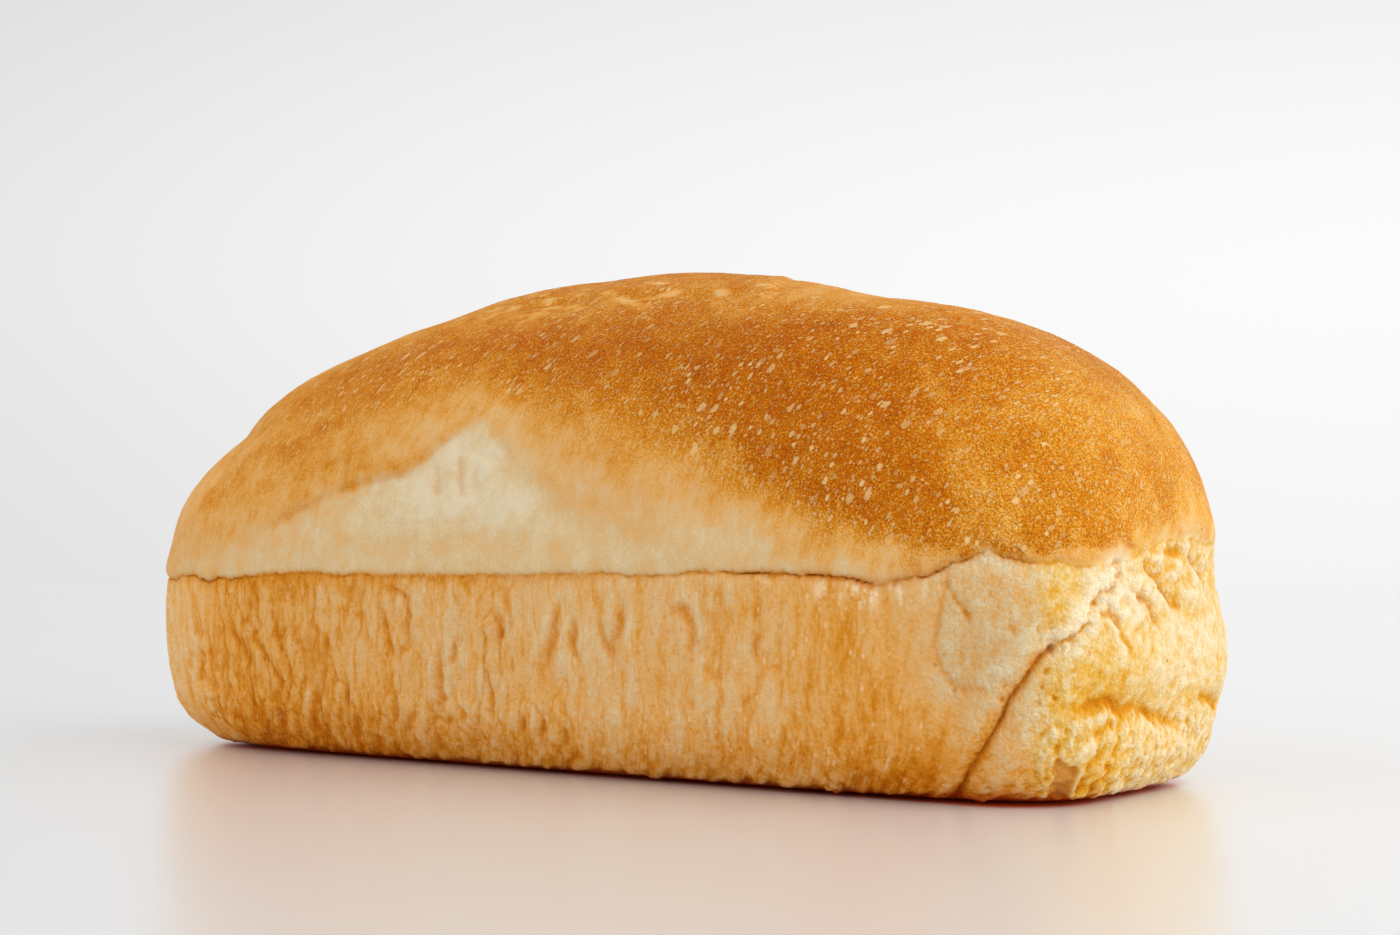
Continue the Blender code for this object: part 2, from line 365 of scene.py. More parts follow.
PALE_EDGE = (
    (-66, 42.5), (-61.2, 44.3), (-53.4, 47.4), (-40.4, 51.3), (-28.9, 53.4), (-23.7, 53.9), (-18.9, 55.9), (-14.3, 58.8),
    (-8.0, 62.2), (-4.5, 63.2),
)
PALE_SIDE = ((-4.5, 63.2), (-0.5, 59.4), (6.7, 53.2), (13.1, 48.4), (17.8, 44.9), (29.5, 41.3))
PALE_B = ((-12, 57.2), (-9.5, 58.0), (-5, 57.4), (0, 56.0), (2.5, 53.5))
PLEAT_A = ((-15.5, 56.4), (-14.1, 52.7), (-14.7, 49.1))
PLEAT_B = ((-9.9, 57.4), (-8.5, 53.1), (-7.7, 48.3))
PLEAT_C = ((-5.0, 55.4), (-4.9, 49.4))
STROKE = ((25.4, 53.6), (26.4, 55.2), (27.6, 56.2))
SLIT = ((-27.4, 45.7), (-18.8, 45.0), (-11.3, 45.1), (0.1, 45.5))
WRINKLES = (  # the longer wrinkles of the front side, as (x, height)
    ((-28.8, 31.2), (-25.5, 33.0), (-22.0, 31.2), (-22.2, 27.9), (-23.8, 22.9), (-26.8, 18.8)),
    ((-28.8, 31.2), (-28.9, 25.9), (-26.8, 18.8)),
    ((-14.2, 24.3), (-16.1, 18.2), (-16.6, 12.7), (-19.3, 8.2)),
    ((-10.9, 24.4), (-13.2, 18.3)),
    ((0.0, 29.3), (0.1, 25.2), (-1.4, 22.8)),
    ((15.1, 31.7), (13.1, 26.5), (10.4, 21.3), (8.5, 16.6)),
    ((18.0, 28.9), (16.4, 23.2), (17.3, 19.2)),
    ((23.0, 28.4), (23.6, 24.4), (24.8, 20.5)),
    ((28.9, 31.3), (26.6, 25.6), (24.0, 19.9)),
    ((-3.0, 20.4), (-4.4, 16.8), (-3.7, 12.0), (-4.5, 8.3)),
    ((-23.6, 11.2), (-27.8, 5.2)),
    ((-38.8, 9.3), (-43.2, 3.7)),
    ((-40.7, 15.0), (-41.8, 10.4)),
    ((-73.0, 25.3), (-69.6, 20.7), (-66.3, 16.8)),
    ((-64.3, 21.5), (-60.5, 15.7), (-59.6, 12.4)),
    ((-61.3, 9.7), (-63.8, 4.7)),
    ((-49.6, 13.4), (-50.3, 8.8)),
    ((3.5, 11.1), (1.5, 6.7)),
    ((7.9, 10.7), (5.9, 6.3)),
    ((12.4, 9.1), (10.5, 5.3)),
    ((-27.4, 14.8), (-28.1, 11.0), (-29.8, 7.1)),
    ((37.0, 29.0), (41.5, 29.6), (42.4, 26.5), (41.2, 20.0)),
    ((55.0, 27.0), (54.0, 21.0)),
)


def knots_at(knots, x):
    table = np.array(knots)
    return np.interp(x, table[:, 0], table[:, 1])


def dome_shade(points, streak, rim):
    """How far the dome is baked: about 0.24 along its foot, and 1 at its darkest."""
    x, y, z = points.T
    front = smooth(10, -10, y)
    mirror = 14 - 0.9 * x
    up = z + 0.9 * streak + 1.3 * noise(points, 9, 84) + 1.2 * noise(points, 3.2, 96) + 0.7 * noise(points, 1.4, 97)

    def both(knots, lift):
        return knots_at(knots, x) * front + (knots_at(knots, mirror) + lift) * (1 - front)

    golden, brown, dark = both(GOLDEN, -3), both(BROWN, -4), both(DARK, -4)
    golden = np.maximum(golden, rim + 1.5)
    step = [
        np.clip((up - rim) / (golden - rim), 0, 1),
        np.clip((up - golden) / (brown - golden), 0, 1),
        np.clip((up - brown) / np.maximum(dark - brown, 2), 0, 1),
        np.clip((up - dark) / 12, 0, 1),
    ]
    foot = 0.22 + 0.17 * smooth(72, 88, x) * front + 0.14 * smooth(-62, -84, x)
    level = foot + (0.46 - foot) * step[0] ** 1.6 + 0.24 * step[1] + 0.20 * step[2] + 0.10 * step[3]
    most = knots_at(MOST, x) - 0.10 * smooth(70, 106, x) * smooth(50, 62, z) - 0.29 * smooth(73, 86, z)
    most += 0.05 * noise(points, 13, 91) + 0.05 * noise(points, (6, 6, 6), 92)
    most -= 0.11 * smooth(22, 48, x) * smooth(72, 82, z) * smooth(100, 86, x) + 0.05 * smooth(50, 75, x) * smooth(52, 66, z)
    level = -np.log(np.exp(-14 * level) + np.exp(-14 * most)) / 14
    edge = np.interp(x, *np.array(PALE_EDGE + PALE_SIDE[1:]).T) + 0.7 * noise(points, 4, 93) + 0.4 * noise(points, 1.6, 66)
    soft = np.interp(x, (-45, -30, -8, 2), (2.4, 0.8, 0.8, 5.0))
    patch = smooth(soft, -soft, z - edge) * smooth(41.0, 47.5, z + 0.8 * streak) * np.interp(x, (-66, -45, -27, -18), (0, 0.35, 0.55, 1))
    patch *= np.interp(x, (-3, 10, 24), (1, 0.75, 0)) * (0.92 + 0.30 * noise(points, 6, 94) + 0.22 * noise(points, 2.4, 98))
    level -= 0.33 * patch * front + 0.12 * np.exp(-(((x - 57) / 11) ** 2)) * smooth(52, 44, z) * smooth(38.0, 40.5, z) * front
    for at, size, more in (  # golden and brown blotches over it
        ((-49.1, 63.6), (3.4, 1.6), 0.20),
        ((-41.5, 56.7), (3.0, 1.5), 0.12),
        ((-55.5, 58.6), (3.5, 2.5), 0.10),
        ((-34.5, 55.6), (5.0, 1.2), 0.14),
        ((-60.5, 60.8), (2.5, 1.6), 0.10),
        ((-36.8, 51.9), (2.4, 1.0), 0.14),
        ((-24.0, 55.4), (4.0, 1.0), 0.16),
    ):
        spot = np.exp(-(((x - at[0]) / size[0]) ** 2) - (((z - at[1] - 0.2 * (x - at[0])) / size[1]) ** 2))
        level += more * spot * front * (1 + 0.8 * noise(points, 2.2, 67))
    # the shred stays pale along its foot, and golden blotches lie over the patch's edge
    blotch = smooth(-0.1, 0.6, noise(points, (9, 9, 5), 99)) * smooth(-12, -30, x) * smooth(-95, -80, x) * smooth(66, 58, z)
    level += 0.10 * blotch * front * smooth(44, 50, z)
    ridge = z - edge - 1.6
    level += 0.08 * np.exp(-((ridge / 1.3) ** 2)) * smooth(-46, -38, x) * smooth(-6, -12, x) * front
    # golden spots along the roll's seam
    level -= 0.30 * smooth(0.15, 0.5, noise(points, (5, 2.2, 9), 95)) * smooth(9, 3, np.abs(y + 21)) * smooth(79, 85, z) * smooth(-45, -15, x) * smooth(50, 38, x)
    return level


def carve(points):
    """How far the crust stands out from the smooth form at each point, how far
    it hangs down there, and the values that the material reads."""
    x, y, z = points.T
    run = round_the_loaf(points)
    w = wrapped(run)
    front = smooth(8, -8, y)
    fine = noise(points, 1.3, 5)
    medium = noise(points, 4.5, 6)
    path = flow(points)
    wall = on_the_wall(points)
    tucked = np.clip(np.abs(wall[:, 1]) - np.abs(y), 0, 20)
    wall[:, 0] += 0.80 * tucked * smooth(100, 86, np.abs(x))
    plus = smooth(97, 106, w) * smooth(192, 178, w)  # the +X end face
    minus = smooth(-100, -108, w) * smooth(-190, -178, w)
    end = np.maximum(plus, minus)
    # the flap and the corner below it have the ends' doughy skin too
    soft_w = w + 2.5 * medium + 3.0 * noise(points, 7, 65)
    doughlike = np.maximum(smooth(71, 92, soft_w) * smooth(200, 188, w), smooth(-84, -98, soft_w) * smooth(-192, -180, w))

    # ---- the break line at the tin's rim
    rim = rim_height(run)
    over = z - rim + 0.26 * fine + 0.35 * noise(points, 3.1, 9) + 0.16 * noise(points, 0.7, 8)
    hard = np.interp(
        w,
        (-RIM_LENGTH / 2, -200, -150, -110, -92, -84, -78, -66, -55, -20, 25, 42, 55, 72, 97, 103, 112, 120, 160, 190, RIM_LENGTH / 2),
        (0.5, 0.7, 0.55, 0.6, 0.5, 0.65, 0.75, 0.50, 0.36, 0.30, 0.34, 0.50, 0.75, 0.8, 0.6, 0.35, 0.4, 0.15, 0.15, 0.6, 0.5),
    )
    hard = np.clip(hard * (1 + 0.95 * noise(points, 4.5, 11) + 0.5 * noise(points, 1.8, 10)), 0.0, 1.2)
    roll = (0.55 + 0.35 * noise(points, 11, 12)) * (0.45 + 0.45 * hard) * (1 - 0.45 * smooth(45, 70, w) * smooth(140, 115, w))
    above = over > 0
    lip = np.where(above, roll * (1 - np.exp(-over / 0.9)) * np.exp(-((over / 8.0) ** 2)), 0)
    crack = np.exp(-((over / 0.45) ** 2))
    out = lip - 0.62 * hard * crack - (0.18 + 0.36 * hard) * np.exp(-np.abs(over) / 1.2)
    drop = np.where(above, 0.45 * hard * np.exp(-over / 0.9), 0)
    # painted shade: how strongly the crease colour is painted into creases, cracks, holes and pits
    recess_shade = 0.95 * hard * np.exp(-(((over + 0.15) / (0.42 + 0.30 * smooth(45, 60, w) * smooth(120, 95, w))) ** 2))
    recess_shade = np.maximum(recess_shade, 0.40 * np.exp(-(((over + 0.5) / 0.8) ** 2)) * smooth(45, 15, w) * smooth(-160, -140, w))

    # ---- slow unevenness
    dome = smooth(0, 6, over)
    side = smooth(0.5, -1.5, over) * smooth(0.3, 3.0, z)
    sheet = side * (1 - doughlike)
    out += (0.55 * noise(points, 24, 21) + 0.24 * noise(points, 11, 22)) * (0.35 + 0.65 * dome) * smooth(0, 5, z)
    out += 0.12 * noise(path, (3.2, 6.5, 4.0), 23) * dome
    out += 0.07 * layered(path, (1.2, 2.6, 2.0), 24, 2) * dome

    # ---- wrinkles that the tin left down the sides
    left = smooth(30, -70, x)
    warp = wall + 1.5 * np.stack([medium, medium, fine], 1)
    patchy = smooth(-0.5, 0.4, noise(points, (17, 17, 30), 31) + 0.25 * left) * (0.55 + 0.45 * smooth(40, -25, x * front))
    ridged = 1 - np.abs(noise(warp, (3.6, 3.6, 17), 32))
    ridged_b = 1 - np.abs(noise(warp, (2.1, 2.1, 8), 36))
    band = smooth(1.5, 7, z) * smooth(-0.6, -4.0, over)
    wrinkle = smooth(0.76, 1.0, ridged) * patchy * band
    wrinkle_b = smooth(0.78, 1.0, ridged_b) * band * (0.30 + 0.70 * smooth(20, 6, z)) * (0.55 + 0.45 * left)
    out += sheet * (0.28 * noise(wall, (4.6, 4.6, 13), 33) + 0.14 * noise(wall, (1.9, 1.9, 6), 34))
    out += sheet * 0.07 * noise(wall, (0.9, 0.9, 2.6), 35)
    leather = np.abs(noise(points + 0.8 * np.stack([medium, fine, fine], 1), (2.6, 2.6, 3.4), 37))
    out += sheet * 0.30 * (leather - 0.25) * smooth(26, 10, z + 3 * medium) * smooth(-0.5, 2, z)
    out -= sheet * (0.42 * wrinkle + 0.24 * wrinkle_b)
    recess_shade = np.maximum(recess_shade, sheet * np.maximum(0.38 * wrinkle, 0.22 * wrinkle_b))
    bent = np.where(front > 0.5, x + 0.7 * medium + 0.3 * fine, 999.0)
    for n, knots in enumerate(WRINKLES):
        d, along, _ = line(bent, z, knots, wrap=False)
        fade = smooth(0, 0.40, np.minimum(along, 1 - along) + 0.05)
        wide = 0.6 + 0.4 * (n * 0.37 % 1)
        out -= (0.44 * np.exp(-((d / wide) ** 2)) + 0.16 * np.exp(-d / 1.6) - 0.26 * np.exp(-(((d - 2.4) / 1.2) ** 2))) * fade * sheet
        recess_shade = np.maximum(recess_shade, 0.52 * np.exp(-((d / (1.1 * wide)) ** 2)) * fade * sheet)

    # ---- the +X end: the fold of the roll, the tear above it and the lobes
    a = w + 0.30 * fine + 0.45 * medium
    b = z + 0.25 * noise(points, 1.5, 41) + 0.35 * noise(points, 5, 42)
    below = smooth(1.0, -1.0, over)
    d, along, turn = line(w + 0.10 * fine, z + 0.1 * noise(points, 1.1, 43), FOLD)
    foot = smooth(0.0, 2.0, z) * 0.6 + 0.4
    out -= (0.50 * np.exp(-((d / 0.42) ** 2)) + 0.45 * np.exp(-((d / 1.3) ** 2)) + 0.40 * np.exp(-((d / 3.6) ** 2))) * below * foot
    out += 0.45 * np.exp(-(((d - 4.4) / 2.6) ** 2)) * below
    out += np.where(turn < 0, 0.3, -0.1) * np.exp(-((d / 3.0) ** 2)) * below
    recess_shade = np.maximum(recess_shade, 0.95 * np.exp(-((d / 0.55) ** 2)) * below)
    d, along, turn = line(w + 0.6 * fine + 0.3 * noise(points, 0.7, 44), z + 0.5 * noise(points, 0.9, 45), TEAR)
    torn = np.exp(-((d / 2.4) ** 2))
    out -= (0.34 * np.exp(-((d / 0.7) ** 2)) + 0.60 * np.exp(-d / 2.2)) * (1.1 - 0.4 * along)
    out += 0.42 * torn * noise(points, 0.8, 46) + 0.5 * torn * noise(points, 1.8, 47)
    ragged = torn * np.where(turn > 0, 1.0, 0.5)
    gap = np.exp(-((d / 0.55) ** 2)) * np.clip(0.7 + 0.9 * noise(points, 1.2, 48), 0, 1)
    recess_shade = np.maximum(recess_shade, 0.62 * gap)
    ragged = ragged * (1 - 0.9 * gap)
    for at, size, depth in (
        ((112.4, 31.3), (1.1, 0.8), 0.7),
        ((115.8, 32.7), (1.1, 0.7), 0.6),
        ((117.9, 35.4), (0.8, 1.1), 0.5),
        ((106.6, 26.0), (1.0, 0.6), 0.5),
        ((122.0, 31.5), (0.9, 0.7), 0.5),
    ):
        hole = near(a, b, at, size)
        out -= depth * hole
        recess_shade = np.maximum(recess_shade, 0.7 * hole**2)

    golden = np.zeros(len(points))
    plain = np.where(y < 0, x + 0.30 * fine + 0.30 * medium, 999.0)

    def creased(knots, depth, width, dark, step=0.0, reach=4.0, soft=0.0, on=None):
        """A crease; step raises the side on its right and lowers the left, and
        soft is a wide shallow dip round it. The crease is darkened with painted
        shade, and the golden band round it is partly painted shade."""
        nonlocal out, recess_shade, golden
        d, along, turn = line(a if on is None else on, b, knots, wrap=on is None)
        fade = smooth(0, 0.22, np.minimum(along, 1 - along)) * 0.9 + 0.1
        out -= (depth * np.exp(-((d / width) ** 2)) + soft * np.exp(-((d / (2.6 * width)) ** 2))) * fade
        if step:
            out += step * np.where(turn < 0, 1.0, -0.6) * (1 - np.exp(-d / 0.9)) * np.exp(-((d / reach) ** 2)) * fade
        recess_shade = np.maximum(recess_shade, dark * np.clip(0.8 + gaps, 0, 1.2) * np.exp(-((d / (width * 0.95)) ** 2)) * fade)
        golden = np.maximum(golden, dark * np.clip(0.8 + gaps, 0, 1.2) * np.exp(-((d / (2.3 * width)) ** 2)) * fade)

    gaps = 0.9 * noise(points, 2.6, 64)
    creased(LOBE, 0.45, 0.8, 0.40, 0.35, 4.0, 0.35)
    creased(INNER, 0.60, 0.8, 0.60, 0.3, 2.5, 0.3)
    creased(KNUCKLE, 0.95, 1.1, 0.85, 1.1, 4.5, 0.8)
    creased(KNUCKLE_B, 0.85, 1.1, 0.75, 0.8, 4.0, 0.7)
    creased(KNUCKLE_C, 0.45, 1.1, 0.50, -0.4, 3.0, 0.4)
    creased(SHELF, 0.70, 1.0, 0.60, 0.9, 4.5, 0.6)
    creased(SHELF_B, 0.60, 1.1, 0.50, 0.6, 4.0, 0.5)
    creased(FLAP, 0.30, 0.6, 0.28, -0.15, 3.0, 0.10)
    creased(FLAP_B, 0.35, 0.5, 0.32, 0.0, 1.0, 0.1)
    creased(FLAP_C, 0.20, 0.5, 0.25)
    creased(PALE_EDGE, 0.34, 0.8, 0.36, -0.45, 6.0, 0.15, plain)
    creased(PALE_SIDE, 0.08, 1.2, 0.0, -0.20, 5.0, 0.1, plain)
    creased(PALE_B, 0.22, 0.7, 0.14, 0.2, 3.5, 0.1, plain)
    creased(PLEAT_A, 0.55, 0.9, 0.22, 0.25, 2.4, 0.2, plain)
    creased(PLEAT_B, 0.55, 0.9, 0.22, 0.25, 2.4, 0.2, plain)
    creased(PLEAT_C, 0.40, 0.9, 0.12, 0.20, 2.4, 0.1, plain)
    creased(SLIT, 0.12, 0.5, 0.16, on=plain)
    creased(STROKE, 0.22, 0.6, 0.40, on=plain)
    creased(FOLD_BACK, 1.6, 0.9, 0.85, 0.3, 5.0, 0.8)
    creased(SHELF_BACK, 0.8, 1.0, 0.45, 0.7, 4.0, 0.6)
    creased(KNUCKLE_BACK, 0.8, 1.0, 0.45, 0.8, 4.5, 0.6)
    creased(FLAP_BACK, 0.3, 0.7, 0.30, 0.0, 1.0, 0.15)
    creased(FOLD_FAR, 0.7, 0.9, 0.5, 0.2, 4.0, 0.5)

    for at, size, rise in (  # lobes and hollows of the ends
        ((94, 27), (8, 9), 0.45),
        ((103, 32), (4.5, 5), 0.45),
        ((126, 21.0), (12, 5.5), 1.45),
        ((117, 24), (4, 4), 0.5),
        ((131, 7), (16, 4.2), 0.9),
        ((109, 12), (5, 5), 0.4),
        ((124, 32.5), (4.0, 3.5), 0.9),
        ((128, 37.0), (5.0, 2.4), 0.5),
        ((142, 34), (4, 5), 0.8),
        ((155, 20), (11, 6), 1.0),
        ((160, 35.5), (12, 5), -1.0),
        ((150, 43), (9, 3), 0.6),
        ((114, 40), (6, 3), 0.4),
        ((-150, 21), (14, 6), 1.3),
        ((-142, 7), (15, 4), 0.8),
        ((-182, 27), (7, 6), 0.6),
        ((-133, 35), (6, 5), 0.8),
        ((-112, 22), (9, 9), 0.3),
        ((150, 17), (6, 3.5), 0.8),
        ((137, 24), (5, 4), 0.5),
        ((178, 10), (8, 6), 0.5),
    ):
        out += rise * near(run, z, at, size)
    # the ends' doughy skin, softly lumped
    doughy = doughlike * smooth(1.2, -1.0, over) * smooth(0.4, 3.0, z) * (0.45 + 0.55 * end)
    out += doughy * (0.30 * noise(points, 3.4, 55) + 0.20 * noise(points, 1.7, 56) + 0.11 * noise(points, 0.9, 57))
    shelf_z = np.interp(w, np.array(SHELF).T[0], np.array(SHELF).T[1])
    bent = points + 0.9 * np.stack([medium, fine, 0 * fine], 1)
    pleats = plus * smooth(0.5, -1.5, z - shelf_z) * smooth(2.0, 5.0, z) * smooth(103, 108, w)
    out += 0.75 * pleats * (np.abs(noise(bent, (2.0, 2.0, 6.5), 58)) - 0.25)
    lined = 1 - np.abs(noise(bent, (1.5, 1.5, 5.0), 68))
    out -= 0.16 * doughlike * below * smooth(0.72, 1.0, lined) * smooth(116, 100, w)
    crumple = near(w, z, (129, 36), (9, 5)) + near(w, z, (146, 37), (7, 4.5)) + 0.8 * near(w, z, (117, 31), (6, 4))
    crumple += 0.6 * near(w, z, (122, 26), (7, 5))
    crumple = np.clip(crumple, 0, 1) * plus
    out += 1.0 * crumple * (np.abs(noise(bent, (2.3, 2.3, 2.8), 59)) - 0.22)

    # ---- the rough foot of the +X end, pitted where it stuck to the tin
    rough = smooth(96, 106, w) * smooth(168, 150, w) * smooth(15.0, 11.5, z + 1.0 * medium)
    rough = np.maximum(rough, 0.8 * smooth(-178, -166, w) * smooth(-118, -128, w) * smooth(15, 11, z))
    hole, mark = pores(points, (1.5, 1.5, 2.2), 51)
    pit = smooth(0.45, 0.20, hole) * smooth(0.52, 0.75, mark) * rough
    out -= 0.42 * pit
    out += rough * (0.22 * noise(points, (0.9, 0.9, 1.8), 52) + 0.34 * noise(points, (1.9, 1.9, 3.4), 53))
    recess_shade = np.maximum(recess_shade, 0.40 * pit)
    # small pinholes over the flap and the tin's side next to it
    hole, mark = pores(points, (1.7, 1.7, 2.1), 54)
    pin = smooth(0.30, 0.14, hole) * smooth(0.50, 0.7, mark) * smooth(26, 22, z) * smooth(60, 84, w) * smooth(112, 104, w) * below
    out -= 0.35 * pin
    recess_shade = np.maximum(recess_shade, 0.40 * pin)
    # a torn square of crust low on the end, its brown inside showing
    patch = (
        smooth(104.6, 105.4, a + 0.4 * fine) * smooth(110.6, 110.0, a) * smooth(0.8, 1.8, b) * smooth(7.2, 6.5, b + 0.25 * (a - 107) + 0.5 * fine)
    )
    out -= 0.65 * patch * (0.55 + 0.45 * smooth(103.5, 109, a))

    # ---- ragged lower edge
    frill = noise(wall, (2.6, 2.6, 3.0), 61)
    out += 0.55 * np.exp(-(((z - 1.8) / 1.0) ** 2)) * (0.45 + 0.9 * frill)
    out += 0.42 * smooth(7.0, 2.0, z) * noise(wall, (1.7, 1.7, 2.4), 62) * smooth(0.1, 0.8, z)
    tuft = near(w, z, (57, 1.8), (3.2, 1.8)) + 0.8 * near(w, z, (47, 2.0), (2.2, 1.7)) + 0.7 * near(w, z, (16, 1.7), (2.7, 1.5))
    out += 0.9 * tuft * (0.6 + 0.8 * noise(points, (1.1, 1.1, 2.4), 63))

    # ---- along the top: the roll's seam, with the flap behind it ending in a step
    seam_y = -21.0 - 0.05 * (x - 14) + 1.0 * noise(points, (9, 50, 50), 71) + 0.5 * noise(points, (3, 50, 50), 72)
    edge_x = 40.0 - 0.45 * (y + 15) + 0.7 * noise(points, (50, 6, 50), 73)
    high = smooth(74, 82, z)
    raised = smooth(-55, -5, x) * smooth(edge_x + 1.1, edge_x - 0.4, x) * smooth(seam_y - 2.2, seam_y + 2.6, y)
    raised = raised * smooth(52, 12, y) * high
    out += 0.45 * raised - 0.35 * smooth(-45, -5, x) * smooth(seam_y + 2.0, seam_y - 3.0, y) * smooth(60, 30, x) * high
    seam = np.exp(-(((y - seam_y + 1.4) / 0.8) ** 2)) * smooth(-35, -10, x) * smooth(48, 40, x) * high
    seam = seam * smooth(-0.25, 0.45, noise(points, (8, 8, 8), 74))
    out -= 0.60 * seam
    recess_shade = np.maximum(recess_shade, 0.15 * seam)
    out -= 0.75 * np.exp(-(((x - 54) / 13) ** 2) - ((y / 26) ** 2)) * smooth(72, 84, z) * (1 - raised)
    out += 0.45 * np.exp(-(((x - 82) / 9) ** 2)) * smooth(52, 74, z)
    out += 1.2 * smooth(-62, -98, x) * np.exp(-(((z - 50) / 11) ** 2)) + 0.6 * near(w, z, (-95, 22), (14, 9))
    out -= 0.55 * np.exp(-(((x - 101) / 6) ** 2)) * smooth(44, 58, z)

    # ---- how far each place is baked: 0 is pale shred, 1 is the dark dome
    streak = noise(path, (1.5, 13, 4), 81) * 0.6 + noise(path, (4.5, 22, 6), 82) * 0.5 + noise(path, (0.8, 5, 3), 83) * 0.35
    upper = dome_shade(points, streak, rim)
    upper += 0.12 * smooth(70, 84, x) * smooth(110, 96, x) * smooth(6, 0, over) * front
    tin = knots_at(TIN_SHADE, w) - 0.06 + 0.06 * smooth(42, 60, w) * smooth(84, 76, w) + 0.05 * noise(points, (13, 13, 22), 85)
    tin += 0.08 * noise(wall, (2.2, 2.2, 12), 86) + 0.05 * noise(wall, (6, 6, 8), 87)
    tin += (0.12 * smooth(15, 3, z) + 0.14 * smooth(4, 1, z)) * (1 - end) + 0.05 * left * smooth(30, 20, z)
    tin += 0.13 * smooth(-4.0, -1.0, over) * smooth(25, -5, w)
    tin += 0.22 * smooth(72, 82, w) * smooth(100, 90, w) * smooth(20, 8, z)
    lobes = 0.42 + 0.09 * noise(points, 7, 88) + 0.05 * noise(points, 2.5, 89)
    lobes += 0.16 * near(w, z, (128, 21), (13, 6.0)) + 0.18 * smooth(9, 3, z) - 0.16 * smooth(25, 33, z)
    lobes -= 0.12 * near(w, z, (136, 10), (12, 3.0)) + 0.20 * near(w, z, (131, 33), (9, 5)) + 0.17 * near(w, z, (117.5, 24), (4.5, 4.5)) + 0.14 * near(w, z, (124, 29), (6, 3))
    lobes += 0.22 * near(w, z, (103.5, 31), (3.0, 7.0))
    tin = tin * (1 - end) + lobes * end
    mix = smooth(-0.3, 0.9, over)
    bake = upper * mix + tin * (1 - mix)
    # above the rim of the +X end the golden crust fades down into the pale lobes
    fade = smooth(116, 128, w) * smooth(180, 165, w) + smooth(-120, -130, w) * smooth(-180, -168, w)
    gate = smooth(36.0, 44.5, z + 1.6 * medium + 1.5 * streak)
    lit = 0.15 * near(w, z, (145, 25), (8, 5)) + 0.09 * near(w, z, (131, 25), (5, 5)) + 0.05 * near(w, z, (145, 33), (6, 4))
    bake = bake * (1 - fade * (1 - gate)) + (0.27 + 0.10 * medium - lit) * fade * (1 - gate)
    bake = np.where(z < 0.4, 0.85 + 0.1 * noise(points, 9, 90), bake)
    # the fold is painted more golden along its line: partly bake colour, partly painted shade
    d, along, turn = line(w, z, FOLD)
    bake += 0.20 * np.exp(-((d / 1.3) ** 2)) * below
    bake = bake + 0.30 * patch - 0.30 * ragged
    tear = np.clip(ragged + 0.6 * near(w, z, (121, 31), (6, 3.5)) * (1 - near(w, z, (125, 28), (2, 3))), 0, 1)

    fray = near(w, over, (74, -2.0), (12, 2.6)) * smooth(0.0, 0.5, noise(wall, (0.75, 0.75, 6), 100)) * (over < 0.3)
    tear = np.clip(tear + 0.8 * fray, 0, 1)
    # golden bands round the creases: partly bake colour, partly painted shade
    bake += 0.34 * golden * end + 0.12 * golden * front * dome
    right = 0.10 * smooth(66, 100, x)
    # where the dome's grain, its painted glints and its blisters show
    speck_and_glint = smooth(0.42 - right, 0.88 - 1.8 * right, bake) * mix * np.interp(x, (-60, -10, 30), (0.55, 0.7, 1.0))
    speck_and_glint = np.maximum(speck_and_glint, 0.80 * smooth(62, 88, x) * smooth(42.5, 50, z + 1.5 * streak) * mix)
    # a brightness factor: partly the crust's own tone, partly painted light and shade (the darker flap, the lighter tin
    # sides and the lighter left end)
    tone_and_painted_light = 1 - 0.13 * near(w, z, (93, 24), (11, 16)) + 0.07 * side * (1 - end) + 0.12 * smooth(-60, -95, x) * side + 0.07 * smooth(-70, -90, x) * smooth(42, 52, z) * smooth(66, 58, z) * front
    tone_and_painted_light += 0.07 * smooth(62, 92, x) * dome
    return {
        "out": out * smooth(0.0, 1.0, z),
        "drop": drop,
        "bake": np.clip(bake, 0, 1.1),
        "recess_shade": np.clip(recess_shade, 0, 1),
        "torn": tear,
        "speck_and_glint": speck_and_glint,
        "tin": (1 - mix) * smooth(0.2, 1.5, z) * (1 - doughlike),
        "dough": np.clip(doughlike * (1 - mix) + fade * (1 - gate), 0, 1),
        # the lowest 2 mm: partly the darker bottom crust, partly painted shade along the contact with the table
        "foot_crust_and_shade": smooth(2.0, 0.3, z) * np.where(z < 0.05, 0.2, 1.0),
        "yellow": np.clip(end * (1 - mix) + fade * (1 - gate) + 0.42 * smooth(76, 100, x) * dome, 0, 1),
        "patch": patch,
        "tone_and_painted_light": tone_and_painted_light,
        "flow": path,
        "wall": wall,
    }


# --------------------------------------------------------------- the mesh
CELLS = (36, 16, 16)


